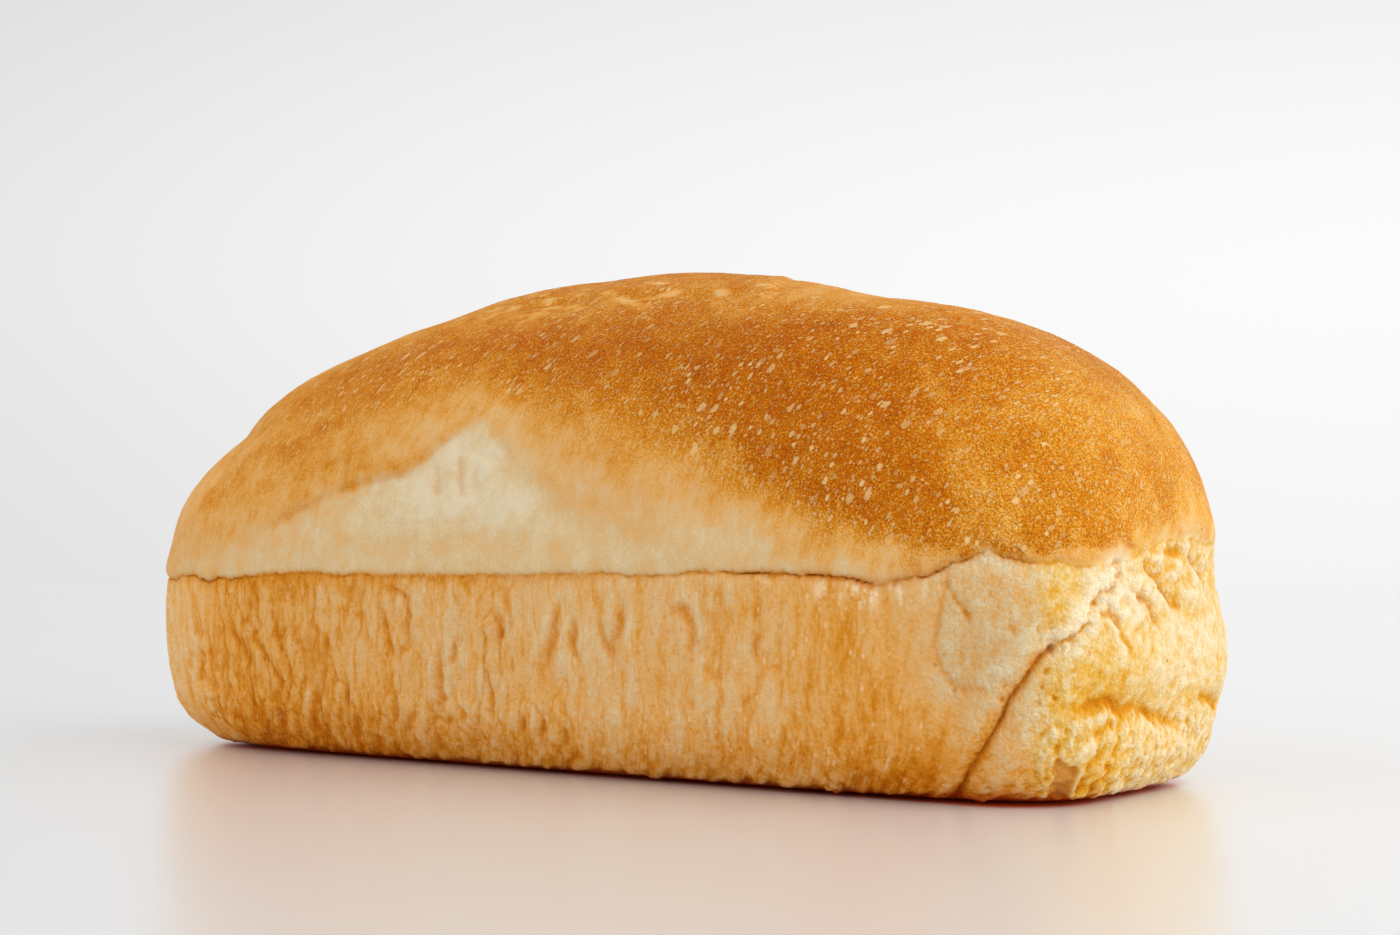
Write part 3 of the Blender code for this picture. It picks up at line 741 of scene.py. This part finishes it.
def wanted_edge(points):
    """The longest mesh edge allowed at each place, in mm."""
    x, y, z = points.T
    run = round_the_loaf(points)
    w = wrapped(run)
    seen = np.maximum(smooth(6, -6, y), smooth(92, 100, x))
    size = 3.1 - 1.78 * seen
    size = np.where(z < 0.05, 7.0, size)
    over = np.abs(z - rim_height(run))
    rim = np.where(seen > 0.5, 0.55, 1.2)
    size = np.minimum(size, np.maximum(rim, over * 0.45))
    for knots, fine in (
        (FOLD, 0.42), (TEAR, 0.40), (LOBE, 0.5), (INNER, 0.45), (KNUCKLE, 0.5), (KNUCKLE_B, 0.5),
        (KNUCKLE_C, 0.6), (SHELF, 0.5), (SHELF_B, 0.6), (FLAP, 0.6), (FLAP_B, 0.6), (FOLD_BACK, 0.8),
        (SHELF_BACK, 1.0), (KNUCKLE_BACK, 1.0), (FOLD_FAR, 1.0),
    ):
        d, _, _ = line(w, z, knots)
        size = np.minimum(size, np.maximum(fine, d * 0.5))
    wall_x = np.where(y < -20, x, 999.0)
    for knots in WRINKLES:
        d, _, _ = line(wall_x, z, knots, wrap=False)
        size = np.minimum(size, np.maximum(0.70, d * 0.5))
    for knots in (PALE_EDGE[3:], PLEAT_A, PLEAT_B, PLEAT_C, STROKE):
        d, _, _ = line(wall_x, z, knots, wrap=False)
        size = np.minimum(size, np.maximum(0.75, d * 0.6))
    foot = smooth(98, 104, w) * smooth(160, 148, w) * (z < 40) * (z > 0.3)
    size = np.where(foot > 0.5, np.minimum(size, 0.78), size)
    return size


def refined_box():
    """A box's surface, -1 to 1, cut finer where the crust needs it, as corner
    coordinates and triangles."""
    bm = bmesh.new()
    bmesh.ops.create_cube(bm, size=2)
    for axis, cells in enumerate(CELLS):
        along = [e for e in bm.edges if abs((e.verts[0].co - e.verts[1].co)[axis]) > 1]
        bmesh.ops.subdivide_edges(bm, edges=along, cuts=cells - 1, use_grid_fill=True)
    bmesh.ops.triangulate(bm, faces=bm.faces)
    bmesh.ops.recalc_face_normals(bm, faces=bm.faces)
    bm.verts.ensure_lookup_table()
    box = np.array([v.co for v in bm.verts], float)
    faces = np.array([[v.index for v in f.verts] for f in bm.faces], np.int64)
    bm.free()
    for _ in range(6):
        points = skin_points(box)
        pairs = np.concatenate([faces[:, [0, 1]], faces[:, [1, 2]], faces[:, [2, 0]]])
        key = np.sort(pairs, 1)
        edges, of = np.unique(key, axis=0, return_inverse=True)
        of = of.reshape(-1)
        length = np.linalg.norm(points[edges[:, 0]] - points[edges[:, 1]], axis=1)
        middle = (points[edges[:, 0]] + points[edges[:, 1]]) / 2
        cut = length > wanted_edge(middle)
        if not cut.any():
            break
        new = np.full(len(edges), -1)
        new[cut] = len(box) + np.arange(cut.sum())
        box = np.concatenate([box, (box[edges[cut, 0]] + box[edges[cut, 1]]) / 2])
        n = len(faces)
        ab, bc, ca = new[of[:n]], new[of[n : 2 * n]], new[of[2 * n :]]
        made = []
        for turn in range(3):  # each triangle is turned so that one rule serves three
            a, b, c = (faces[:, (turn + m) % 3] for m in range(3))
            p, q, r = ((ab, bc, ca)[(turn + m) % 3] for m in range(3))
            one = (p >= 0) & (q < 0) & (r < 0)
            two = (p >= 0) & (q >= 0) & (r < 0)
            made += [np.stack([a, p, c], 1)[one], np.stack([p, b, c], 1)[one]]
            made += [np.stack([p, b, q], 1)[two]]
            # the four-sided rest is split across its shorter diagonal
            short = np.linalg.norm(box[a] - box[np.maximum(q, 0)], axis=1) < np.linalg.norm(
                box[np.maximum(p, 0)] - box[c], axis=1
            )
            made += [np.stack([a, p, q], 1)[two & short], np.stack([a, q, c], 1)[two & short]]
            made += [np.stack([a, p, c], 1)[two & ~short], np.stack([p, q, c], 1)[two & ~short]]
        whole = (ab < 0) & (bc < 0) & (ca < 0)
        four = (ab >= 0) & (bc >= 0) & (ca >= 0)
        a, b, c = faces[four].T
        p, q, r = ab[four], bc[four], ca[four]
        made += [faces[whole]]
        made += [np.stack(t, 1) for t in ((a, p, r), (p, b, q), (r, q, c), (p, q, r))]
        faces = np.concatenate(made)
    return box, faces


def corner_normals(points, faces):
    normal = np.cross(points[faces[:, 1]] - points[faces[:, 0]], points[faces[:, 2]] - points[faces[:, 0]])
    total = np.zeros_like(points)
    for k in range(3):
        np.add.at(total, faces[:, k], normal)
    return total / np.maximum(np.linalg.norm(total, axis=1), 1e-12)[:, None]


def blurred(values, faces, times):
    """Each value drawn towards its neighbours' mean, over and over."""
    here = np.concatenate([faces.ravel(), faces[:, [1, 2, 0]].ravel()])
    there = np.concatenate([faces[:, [1, 2, 0]].ravel(), faces.ravel()])
    count = np.bincount(here, minlength=len(values))
    for _ in range(times):
        values = 0.3 * values + 0.7 * np.bincount(here, values[there], len(values)) / count
    return values


def make_mesh(name, points, faces, values):
    mesh = bpy.data.meshes.new(name)
    mesh.from_pydata((points * MM).tolist(), [], faces.tolist())
    for key, value in values.items():
        if value.ndim == 2:
            made = mesh.attributes.new(key, "FLOAT_VECTOR", "POINT")
            made.data.foreach_set("vector", value.astype(np.float32).ravel())
        else:
            made = mesh.attributes.new(key, "FLOAT", "POINT")
            made.data.foreach_set("value", value.astype(np.float32))
    mesh.shade_smooth()
    mesh.update()
    piece = bpy.data.objects.new(name, mesh)
    bpy.context.scene.collection.objects.link(piece)
    return piece


def crust_surface(points, normals, seen):
    """The finished place of each point, from the smooth form and its relief."""
    moved = points + normals * seen["out"][:, None]
    moved[:, 2] -= seen["drop"]
    moved[:, 2] = np.where(points[:, 2] < 1e-3, 0.0, np.maximum(moved[:, 2], 0.02))
    return moved


box_points, box_faces = refined_box()
smooth_points = skin_points(box_points)
smooth_normals = corner_normals(smooth_points, box_faces)
relief = carve(smooth_points)
# painted shade: places lower than their surroundings are painted darker, higher ones paler
near_mean = blurred(relief["out"], box_faces, 8)
wide_mean = blurred(near_mean, box_faces, 36)
relief_shade = 1.2 * (near_mean - relief["out"]) + 0.5 * (wide_mean - relief["out"]) * relief["tin"]
relief_shade = relief_shade * np.maximum(relief["tin"], relief["dough"]) * smooth(0.3, 1.5, smooth_points[:, 2])
relief["relief_shade"] = np.clip(relief_shade, -0.5, 0.8)
crust_points = crust_surface(smooth_points, smooth_normals, relief)
crust_points[:, :2] += CENTRE
print("crust:", len(crust_points), "points,", len(box_faces), "triangles")
print("crust box:", crust_points.min(0).round(2), crust_points.max(0).round(2))


crust = make_mesh(
    "loaf_crust",
    crust_points,
    box_faces,
    {k: relief[k] for k in ("bake", "foot_crust_and_shade", "yellow", "recess_shade", "torn", "speck_and_glint", "tin", "dough", "patch", "tone_and_painted_light", "relief_shade", "flow", "wall")},
)

# ---------------------------------------------------------------- material
def linear(r, g, b):
    """An sRGB colour, 0 to 255, as Blender's linear one."""
    return tuple(((v / 255 + 0.055) / 1.055) ** 2.4 if v > 10 else v / 255 / 12.92 for v in (r, g, b)) + (1.0,)


class Nodes:
    """Short names for making a material's nodes."""

    def __init__(self, name):
        self.material = bpy.data.materials.new(name)
        self.material.use_nodes = True
        self.tree = self.material.node_tree
        self.shader = self.tree.nodes["Principled BSDF"]

    def put(self, socket, value):
        if isinstance(value, bpy.types.NodeSocket):
            self.tree.links.new(value, socket)
        elif value is not None:
            socket.default_value = value

    def attribute(self, name, vector=False):
        node = self.tree.nodes.new("ShaderNodeAttribute")
        node.attribute_name = name
        return node.outputs["Vector" if vector else "Fac"]

    def place(self):
        return self.tree.nodes.new("ShaderNodeTexCoord").outputs["Object"]

    def math(self, kind, a, b=None, c=None, clamp=False):
        node = self.tree.nodes.new("ShaderNodeMath")
        node.operation, node.use_clamp = kind, clamp
        for socket, value in zip(node.inputs, (a, b, c)):
            self.put(socket, value)
        return node.outputs[0]

    def scaled(self, vector, factors):
        node = self.tree.nodes.new("ShaderNodeVectorMath")
        node.operation = "MULTIPLY"
        self.put(node.inputs[0], vector)
        node.inputs[1].default_value = factors
        return node.outputs[0]

    def axis(self, vector, which):
        node = self.tree.nodes.new("ShaderNodeSeparateXYZ")
        self.put(node.inputs[0], vector)
        return node.outputs[which]

    def noise(self, vector, scale=1.0, detail=2.0, rough=0.5, distortion=0.0):
        node = self.tree.nodes.new("ShaderNodeTexNoise")
        self.put(node.inputs["Vector"], vector)
        node.inputs["Scale"].default_value = scale
        node.inputs["Detail"].default_value = detail
        node.inputs["Roughness"].default_value = rough
        node.inputs["Distortion"].default_value = distortion
        return node.outputs["Fac"]

    def cells(self, vector, scale=1.0, randomness=1.0, flat=False):
        node = self.tree.nodes.new("ShaderNodeTexVoronoi")
        if flat:
            node.voronoi_dimensions = "2D"
        self.put(node.inputs["Vector"], vector)
        node.inputs["Scale"].default_value = scale
        node.inputs["Randomness"].default_value = randomness
        return node.outputs["Distance"], node.outputs["Color"]

    def fit(self, value, low, high, to_low=0.0, to_high=1.0, kind="SMOOTHSTEP"):
        node = self.tree.nodes.new("ShaderNodeMapRange")
        node.interpolation_type = kind
        self.put(node.inputs[0], value)
        for socket, number in zip(node.inputs[1:5], (low, high, to_low, to_high)):
            self.put(socket, number)
        return node.outputs[0]

    def ramp(self, value, stops):
        node = self.tree.nodes.new("ShaderNodeValToRGB")
        self.put(node.inputs[0], value)
        ramp = node.color_ramp
        while len(ramp.elements) < len(stops):
            ramp.elements.new(0.5)
        for element, (at, colour) in zip(ramp.elements, stops):
            element.position, element.color = at, colour
        return node.outputs["Color"]

    def blend(self, factor, a, b, kind="MIX"):
        node = self.tree.nodes.new("ShaderNodeMix")
        node.data_type, node.blend_type, node.clamp_factor = "RGBA", kind, True
        self.put(node.inputs[0], factor)
        self.put(node.inputs[6], a)
        self.put(node.inputs[7], b)
        return node.outputs[2]

    def split(self, colour):
        node = self.tree.nodes.new("ShaderNodeSeparateColor")
        self.put(node.inputs[0], colour)
        return node.outputs

    def bump(self, height, distance, strength=1.0, normal=None):
        node = self.tree.nodes.new("ShaderNodeBump")
        node.inputs["Strength"].default_value = strength
        node.inputs["Distance"].default_value = distance
        self.put(node.inputs["Height"], height)
        if normal is not None:
            self.put(node.inputs["Normal"], normal)
        return node.outputs[0]


def crust_material():
    n = Nodes("baked_crust")
    foot_crust_and_shade = n.attribute("foot_crust_and_shade")
    place = n.scaled(n.place(), (1000, 1000, 1000))  # mm
    path, wall = n.attribute("flow", vector=True), n.attribute("wall", vector=True)
    bake, recess_shade, torn = n.attribute("bake"), n.attribute("recess_shade"), n.attribute("torn")
    speck_and_glint, tin, patch = n.attribute("speck_and_glint"), n.attribute("tin"), n.attribute("patch")
    dough, tone_and_painted_light, relief_shade = n.attribute("dough"), n.attribute("tone_and_painted_light"), n.attribute("relief_shade")

    def swing(value, amount, base):
        """base + amount * (value - 0.5)"""
        return n.math("MULTIPLY_ADD", n.math("SUBTRACT", value, 0.5), amount, base)

    # the dome: broad and fine streaks up the dough's stretch
    broad = n.noise(n.scaled(path, (0.40, 0.075, 0.3)), detail=1)
    strand = n.noise(n.scaled(path, (1.6, 0.26, 0.6)), detail=3, rough=0.6)
    upper = swing(broad, 0.10, bake)
    # strands show most where the shred turns golden
    upper = swing(strand, n.fit(bake, 0.22, 0.50, 0.08, 0.34), upper)
    mottle = n.noise(place, scale=0.22, detail=4, rough=0.62)
    upper = swing(mottle, 0.62, upper)
    # the dome's fine bubbles: painted glints, bright points on a darker ground, over fine noise
    bubble, _ = n.cells(place, scale=1.7)
    painted_glint = n.fit(bubble, 0.10, 0.46, 1.0, 0.0)
    grit = n.noise(place, scale=2.7, detail=1.0, rough=0.65)
    grain_and_glint = n.math("MULTIPLY_ADD", n.math("SUBTRACT", grit, 0.5), 1.2, n.math("MULTIPLY_ADD", painted_glint, -0.42, 0.12))
    upper = n.math("MULTIPLY_ADD", grain_and_glint, n.fit(speck_and_glint, 0.0, 1.0, 0.22, 0.92, "LINEAR"), upper)

    # the tin's sides: ridges and flecks that run down
    rib = n.noise(n.scaled(wall, (0.50, 0.50, 0.10)), detail=3, rough=0.55)
    scratch = n.noise(n.scaled(wall, (1.5, 1.5, 0.36)), detail=1.5, rough=0.6)
    pebble = n.noise(place, scale=1.5, detail=2, rough=0.65)
    lower = swing(rib, 0.38, bake)
    lower = swing(scratch, n.fit(n.axis(wall, 0), 0.0, 60.0, 0.26, 0.44), lower)
    lower = swing(pebble, 0.38, lower)
    # fine wrinkles, long ones that run down and a crackle that thickens low down, drawn as darker lines in the colour:
    # painted shade for wrinkles that the mesh doesn't carry
    winding = n.noise(n.scaled(wall, (0.26, 0.26, 0.085)), detail=2, rough=0.5)
    crease = n.fit(n.math("ABSOLUTE", n.math("SUBTRACT", winding, 0.5)), 0.0, 0.055, 1.0, 0.0)
    crease = n.math("MULTIPLY", crease, n.fit(n.axis(wall, 0), 15.0, 60.0, 0.80, 0.45))
    wandering = n.noise(n.scaled(place, (0.34, 0.34, 0.22)), detail=2, rough=0.55)
    crackle = n.fit(n.math("ABSOLUTE", n.math("SUBTRACT", wandering, 0.5)), 0.0, 0.075, 1.0, 0.0)
    low_down = n.fit(n.axis(wall, 2), 5.0, 24.0, 0.75, 0.06)
    crease = n.math("MAXIMUM", crease, n.math("MULTIPLY", crackle, low_down))
    lower = n.math("MULTIPLY_ADD", crease, 0.20, lower)
    # the ends' doughy skin: soft lumps
    lump = n.noise(place, scale=0.33, detail=2, rough=0.55)
    doughy = swing(lump, 0.44, bake)
    doughy = swing(pebble, 0.62, doughy)
    level = n.math("ADD", upper, n.math("MULTIPLY", n.math("SUBTRACT", lower, upper), tin))
    level = n.math("ADD", level, n.math("MULTIPLY", n.math("SUBTRACT", doughy, level), dough))
    # painted shade: hollows are painted darker and more golden, and ridges paler
    level = n.math("MULTIPLY_ADD", relief_shade, n.fit(dough, 0, 1, 0.36, 0.85, "LINEAR"), level)
    level = n.math("MULTIPLY", level, 1 / RAMP_END, clamp=True)
    colour = n.ramp(level, [(at / RAMP_END, shade) for at, shade in CRUST_STOPS])
    colour = n.blend(n.attribute("yellow"), colour, n.ramp(level, [(at / RAMP_END, shade) for at, shade in DOUGH_STOPS]))

    # flat pale blisters, drawn out along the dough's stretch, in three sizes
    ragged = n.math("SUBTRACT", n.noise(place, scale=1.5, detail=1.5, rough=0.6), 0.5)

    def blisters(size, kept, radius, seed):
        spread = n.tree.nodes.new("ShaderNodeVectorMath")
        spread.operation = "ADD"
        n.put(spread.inputs[0], n.scaled(path, (size[0], size[1], 0)))
        spread.inputs[1].default_value = (seed, seed * 1.7, 0)
        far, mark = n.cells(spread.outputs[0], flat=True)
        marks = n.split(mark)
        reach = n.fit(marks[0], kept, 1.0, 0.0, radius, "LINEAR")
        within = n.math("SUBTRACT", reach, n.math("MULTIPLY_ADD", ragged, 0.34, far))
        return n.fit(within, -0.04, 0.05), marks[1], within

    large, tint, within = blisters((0.36, 0.20), 0.58, 0.26, 3.1)
    middle, tint_b, within_b = blisters((0.66, 0.33), 0.30, 0.27, 7.7)
    small, tint_c, _ = blisters((1.25, 0.62), 0.30, 0.30, 12.3)
    ring = n.math("MAXIMUM", n.fit(within, -0.13, -0.03), n.math("MULTIPLY", n.fit(within_b, -0.14, -0.04), 0.7))
    blister = n.math("MAXIMUM", n.math("MULTIPLY", large, n.fit(tint, 0, 1, 0.30, 0.85, "LINEAR")), n.math("MULTIPLY", middle, n.fit(tint_b, 0, 1, 0.25, 0.95, "LINEAR")))
    blister = n.math("MAXIMUM", blister, n.math("MULTIPLY", small, n.fit(tint_c, 0, 1, 0.1, 0.60, "LINEAR")))
    blister = n.math("MULTIPLY", blister, n.fit(speck_and_glint, 0.05, 0.6, 0.0, 0.95))
    # they gather in drifts, and leave other places bare
    drift = n.fit(n.noise(place, scale=0.05, detail=1), 0.35, 0.55, 0.60, 1.0)
    blister = n.math("MULTIPLY", blister, drift)
    ring = n.math("MULTIPLY", n.math("MULTIPLY", ring, drift), n.fit(speck_and_glint, 0.2, 0.8, 0.0, 0.26))
    colour = n.blend(ring, colour, RING_COLOUR)
    colour = n.blend(blister, colour, BLISTER_COLOUR)

    # pale flecks and small golden pits on the tin's sides
    far, mark = n.cells(n.scaled(wall, (0.90, 0.90, 0.50)))
    marks = n.split(mark)
    fleck = n.fit(n.math("SUBTRACT", n.fit(marks[0], 0.45, 1.0, 0.0, 0.34, "LINEAR"), far), -0.08, 0.08)
    fleck = n.math("MULTIPLY", n.math("MULTIPLY", fleck, tin), n.fit(n.axis(wall, 0), 0.0, 60.0, 0.26, 0.55))
    colour = n.blend(fleck, colour, FLECK_COLOUR)
    pit = n.fit(n.math("SUBTRACT", n.fit(marks[1], 0.55, 1.0, 0.0, 0.30, "LINEAR"), far), -0.07, 0.07)
    pit = n.math("MULTIPLY", n.math("MULTIPLY", pit, tin), 0.40)
    colour = n.blend(pit, colour, PIT_COLOUR)
    colour = n.blend(n.math("MULTIPLY", torn, n.fit(grit, 0.3, 0.6, 0.35, 0.95, "LINEAR"), clamp=True), colour, TORN_COLOUR)
    colour = n.blend(n.math("MULTIPLY", patch, 0.85), colour, PATCH_COLOUR)
    # painted shade: creases, cracks, holes and pits are painted a golden brown, broken by a fine noise
    broken = n.fit(ragged, -0.25, 0.1, 0.55, 1.0, "LINEAR")
    recess_shade_colour = n.blend(n.attribute("yellow"), RECESS_SHADE_BROWN, RECESS_SHADE_YELLOW)
    colour = n.blend(n.math("MULTIPLY", recess_shade, broken, clamp=True), colour, recess_shade_colour)
    # partly the darker bottom crust, partly painted shade along the contact with the table
    colour = n.blend(n.math("MULTIPLY", foot_crust_and_shade, 0.9), colour, FOOT_CRUST_AND_SHADE_COLOUR)
    # a few specks of dark flour
    far, mark = n.cells(place, scale=0.10)
    marks = n.split(mark)
    dot = n.fit(n.math("SUBTRACT", n.fit(marks[0], 0.72, 1.0, 0.0, 0.034, "LINEAR"), far), -0.004, 0.006)
    colour = n.blend(n.math("MULTIPLY", dot, 0.75), colour, SPECK_COLOUR)
    # the colour is scaled by the brightness factor, which is partly painted light and shade
    shade = n.tree.nodes.new("ShaderNodeVectorMath")
    shade.operation = "SCALE"
    n.put(shade.inputs[0], colour)
    n.put(shade.inputs["Scale"], tone_and_painted_light)
    n.put(n.shader.inputs["Base Color"], shade.outputs[0])

    rough = n.fit(speck_and_glint, 0, 1, 0.66, 0.50, "LINEAR")
    rough = n.math("MULTIPLY_ADD", grain_and_glint, 0.20, rough)
    rough = n.math("MULTIPLY_ADD", blister, 0.10, rough, clamp=True)
    n.put(n.shader.inputs["Roughness"], rough)
    n.shader.inputs["IOR"].default_value = 1.42
    n.shader.inputs["Specular IOR Level"].default_value = 0.07

    skin = n.math("MULTIPLY", grain_and_glint, n.fit(speck_and_glint, 0, 1, -0.15, -1.0, "LINEAR"))
    lines = n.math("MULTIPLY", scratch, n.math("MULTIPLY", tin, 0.9))
    lines = n.math("MULTIPLY_ADD", pebble, n.math("MULTIPLY_ADD", tin, 0.75, n.math("MULTIPLY", dough, 1.2)), lines)
    lines = n.math("MULTIPLY_ADD", skin, 0.75, lines)
    lines = n.math("MULTIPLY_ADD", n.math("MAXIMUM", large, middle), n.math("MULTIPLY", speck_and_glint, 0.30), lines)
    n.put(n.shader.inputs["Normal"], n.bump(lines, 0.00040, 1.0))
    return n.material


RAMP_END = 1.3
CRUST_STOPS = (
    (0.0, linear(229, 212, 178)),
    (0.13, linear(225, 201, 158)),
    (0.26, linear(222, 189, 137)),
    (0.38, linear(226, 179, 117)),
    (0.50, linear(226, 169, 94)),
    (0.62, linear(222, 155, 66)),
    (0.76, linear(213, 136, 32)),
    (0.90, linear(201, 116, 4)),
    (1.05, linear(190, 98, 0)),
    (1.3, linear(168, 76, 0)),
)
DOUGH_STOPS = (
    (0.0, linear(244, 224, 184)),
    (0.13, linear(240, 216, 168)),
    (0.26, linear(237, 204, 142)),
    (0.38, linear(234, 191, 108)),
    (0.50, linear(231, 177, 74)),
    (0.65, linear(225, 159, 38)),
    (0.85, linear(210, 132, 18)),
    (1.3, linear(176, 92, 0)),
)
# the foot's dark red-brown: partly bottom crust, partly painted shade at the contact
FOOT_CRUST_AND_SHADE_COLOUR = linear(190, 74, 6)
# painted shade in creases, cracks and pits, on the ends
RECESS_SHADE_YELLOW = linear(214, 140, 18)
SPECK_COLOUR = linear(120, 72, 30)
BLISTER_COLOUR = linear(242, 198, 130)
RING_COLOUR = linear(166, 82, 4)
FLECK_COLOUR = linear(240, 206, 154)
PIT_COLOUR = linear(206, 130, 40)
TORN_COLOUR = linear(252, 236, 202)
PATCH_COLOUR = linear(214, 150, 70)
# painted shade in creases, cracks and pits, elsewhere
RECESS_SHADE_BROWN = linear(204, 126, 34)

crust.data.materials.append(crust_material())
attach(crust, "root")
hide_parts("loaf")


# ------------------------------------------------------------------ studio
VIEW_TURN = math.radians(37.195)
RIGHTWARD = (math.cos(VIEW_TURN), math.sin(VIEW_TURN), 0)


def floor():
    """A wide pale table with a soft gloss, its colour a little brighter to the right: painted light."""
    n = Nodes("pale_table")
    place = n.place()
    tone_and_painted_light = n.noise(place, scale=1.2, detail=1)
    # painted light: the colour brightens towards the right
    across = n.tree.nodes.new("ShaderNodeVectorMath")
    across.operation = "DOT_PRODUCT"
    n.put(across.inputs[0], place)
    across.inputs[1].default_value = RIGHTWARD
    level = n.fit(across.outputs["Value"], -0.25, 0.25, 0.0, 0.8)
    level = n.math("MULTIPLY_ADD", tone_and_painted_light, 0.15, level)
    colour = n.ramp(level, ((0.1, linear(226, 226, 227)), (0.9, linear(240, 239, 238))))
    # painted light: the table's colour is painted warm right below the loaf's foot, standing in for light that comes
    # through the foot
    beyond = place
    for kind, size in (("SUBTRACT", (0.0008, 0, 0)), ("ABSOLUTE", None), ("SUBTRACT", (0.0865, 0.0165, 1)), ("MAXIMUM", (0, 0, 0)), ("LENGTH", None)):
        node = n.tree.nodes.new("ShaderNodeVectorMath")
        node.operation = kind
        n.put(node.inputs[0], beyond)
        if size:
            node.inputs[1].default_value = size
        beyond = node.outputs["Value" if kind == "LENGTH" else "Vector"]
    colour = n.blend(n.fit(beyond, 0.0112, 0.0160, 1.0, 0.0), colour, linear(232, 104, 44))
    n.put(n.shader.inputs["Base Color"], colour)
    reach = n.tree.nodes.new("ShaderNodeVectorMath")
    reach.operation = "LENGTH"
    n.put(reach.inputs[0], place)
    close = n.fit(reach.outputs["Value"], 0.5, 1.2, 0.10, 0.0)
    n.put(
        n.shader.inputs["Roughness"],
        n.math("MULTIPLY_ADD", n.math("SUBTRACT", n.noise(place, scale=9.0, detail=3), 0.5), close, 0.36),
    )
    n.shader.inputs["IOR"].default_value = 1.5
    n.shader.inputs["Coat Weight"].default_value = 0.95
    n.shader.inputs["Coat Roughness"].default_value = 0.29
    bm = bmesh.new()
    bmesh.ops.create_circle(bm, cap_ends=True, cap_tris=True, segments=96, radius=12.0)
    mesh = bpy.data.meshes.new("table")
    bm.to_mesh(mesh)
    bm.free()
    table = bpy.data.objects.new("table", mesh)
    table.location = (0, 0, -0.0002)
    mesh.materials.append(n.material)
    bpy.context.scene.collection.objects.link(table)


def surroundings():
    """A bright white room: a pale wall all round, with broad soft glows above it."""
    world = bpy.data.worlds.new("studio")
    bpy.context.scene.world = world
    world.use_nodes = True
    tree = world.node_tree
    background = tree.nodes["Background"]
    place = tree.nodes.new("ShaderNodeTexCoord").outputs["Generated"]
    total = None

    def add(value, low, high, gain):
        nonlocal total
        span = tree.nodes.new("ShaderNodeMapRange")
        span.interpolation_type = "SMOOTHSTEP"
        for socket, number in zip(span.inputs[1:5], (low, high, 0.0, gain)):
            socket.default_value = number
        tree.links.new(value, span.inputs[0])
        node = tree.nodes.new("ShaderNodeMath")
        node.operation = "ADD"
        if total is None:
            node.inputs[0].default_value = ROOM_LIGHT
        else:
            tree.links.new(total, node.inputs[0])
        tree.links.new(span.outputs[0], node.inputs[1])
        total = node.outputs[0]

    for direction, low, high, gain in GLOWS:
        dot = tree.nodes.new("ShaderNodeVectorMath")
        dot.operation = "DOT_PRODUCT"
        dot.inputs[1].default_value = Vector(direction).normalized()
        tree.links.new(place, dot.inputs[0])
        add(dot.outputs["Value"], low, high, gain)
    axes = tree.nodes.new("ShaderNodeSeparateXYZ")
    tree.links.new(place, axes.inputs[0])
    height = tree.nodes.new("ShaderNodeMath")
    height.operation = "ABSOLUTE"
    tree.links.new(axes.outputs[2], height.inputs[0])
    add(height.outputs[0], *WALL_FADE, -WALL_LIGHT)
    tree.links.new(total, background.inputs["Strength"])
    background.inputs["Color"].default_value = (1.0, 1.0, 1.0, 1)


WALL_LIGHT, WALL_FADE = 0.319, (0.12, 0.5)
ROOM_LIGHT = 0.30 + WALL_LIGHT
GLOWS = (  # direction, where its soft edge starts and ends (as a cosine), strength
    ((-0.605, 0.797, 0), -0.6, 0.9, 0.124),
    ((0, 0, 1), 0.2, 1.0, 0.05),
    ((-0.2, 0.75, 0.6), 0.5, 1.0, 0.274),
    ((-0.6, -0.7, 0.42), 0.5, 1.0, 0.865),
    ((0.8, -0.1, 0.62), 0.6, 1.0, 1.022),
    ((1, 0.2, 0.3), 0.6, 1.0, 1.431),
)

floor()
surroundings()

camera_data = bpy.data.cameras.new("camera")
camera_data.lens = 50.0
camera_data.sensor_width = 36.0
camera_data.clip_start, camera_data.clip_end = 0.01, 30.0
camera = bpy.data.objects.new("camera", camera_data)
camera.location = ((236.69 + CENTRE[0]) * MM, (-296.50 + CENTRE[1]) * MM, 34.92 * MM)
camera.rotation_euler = (math.radians(90 + 3.257), 0, math.radians(37.195))
bpy.context.scene.collection.objects.link(camera)
bpy.context.scene.camera = camera
bpy.context.scene.view_settings.view_transform = "Standard"
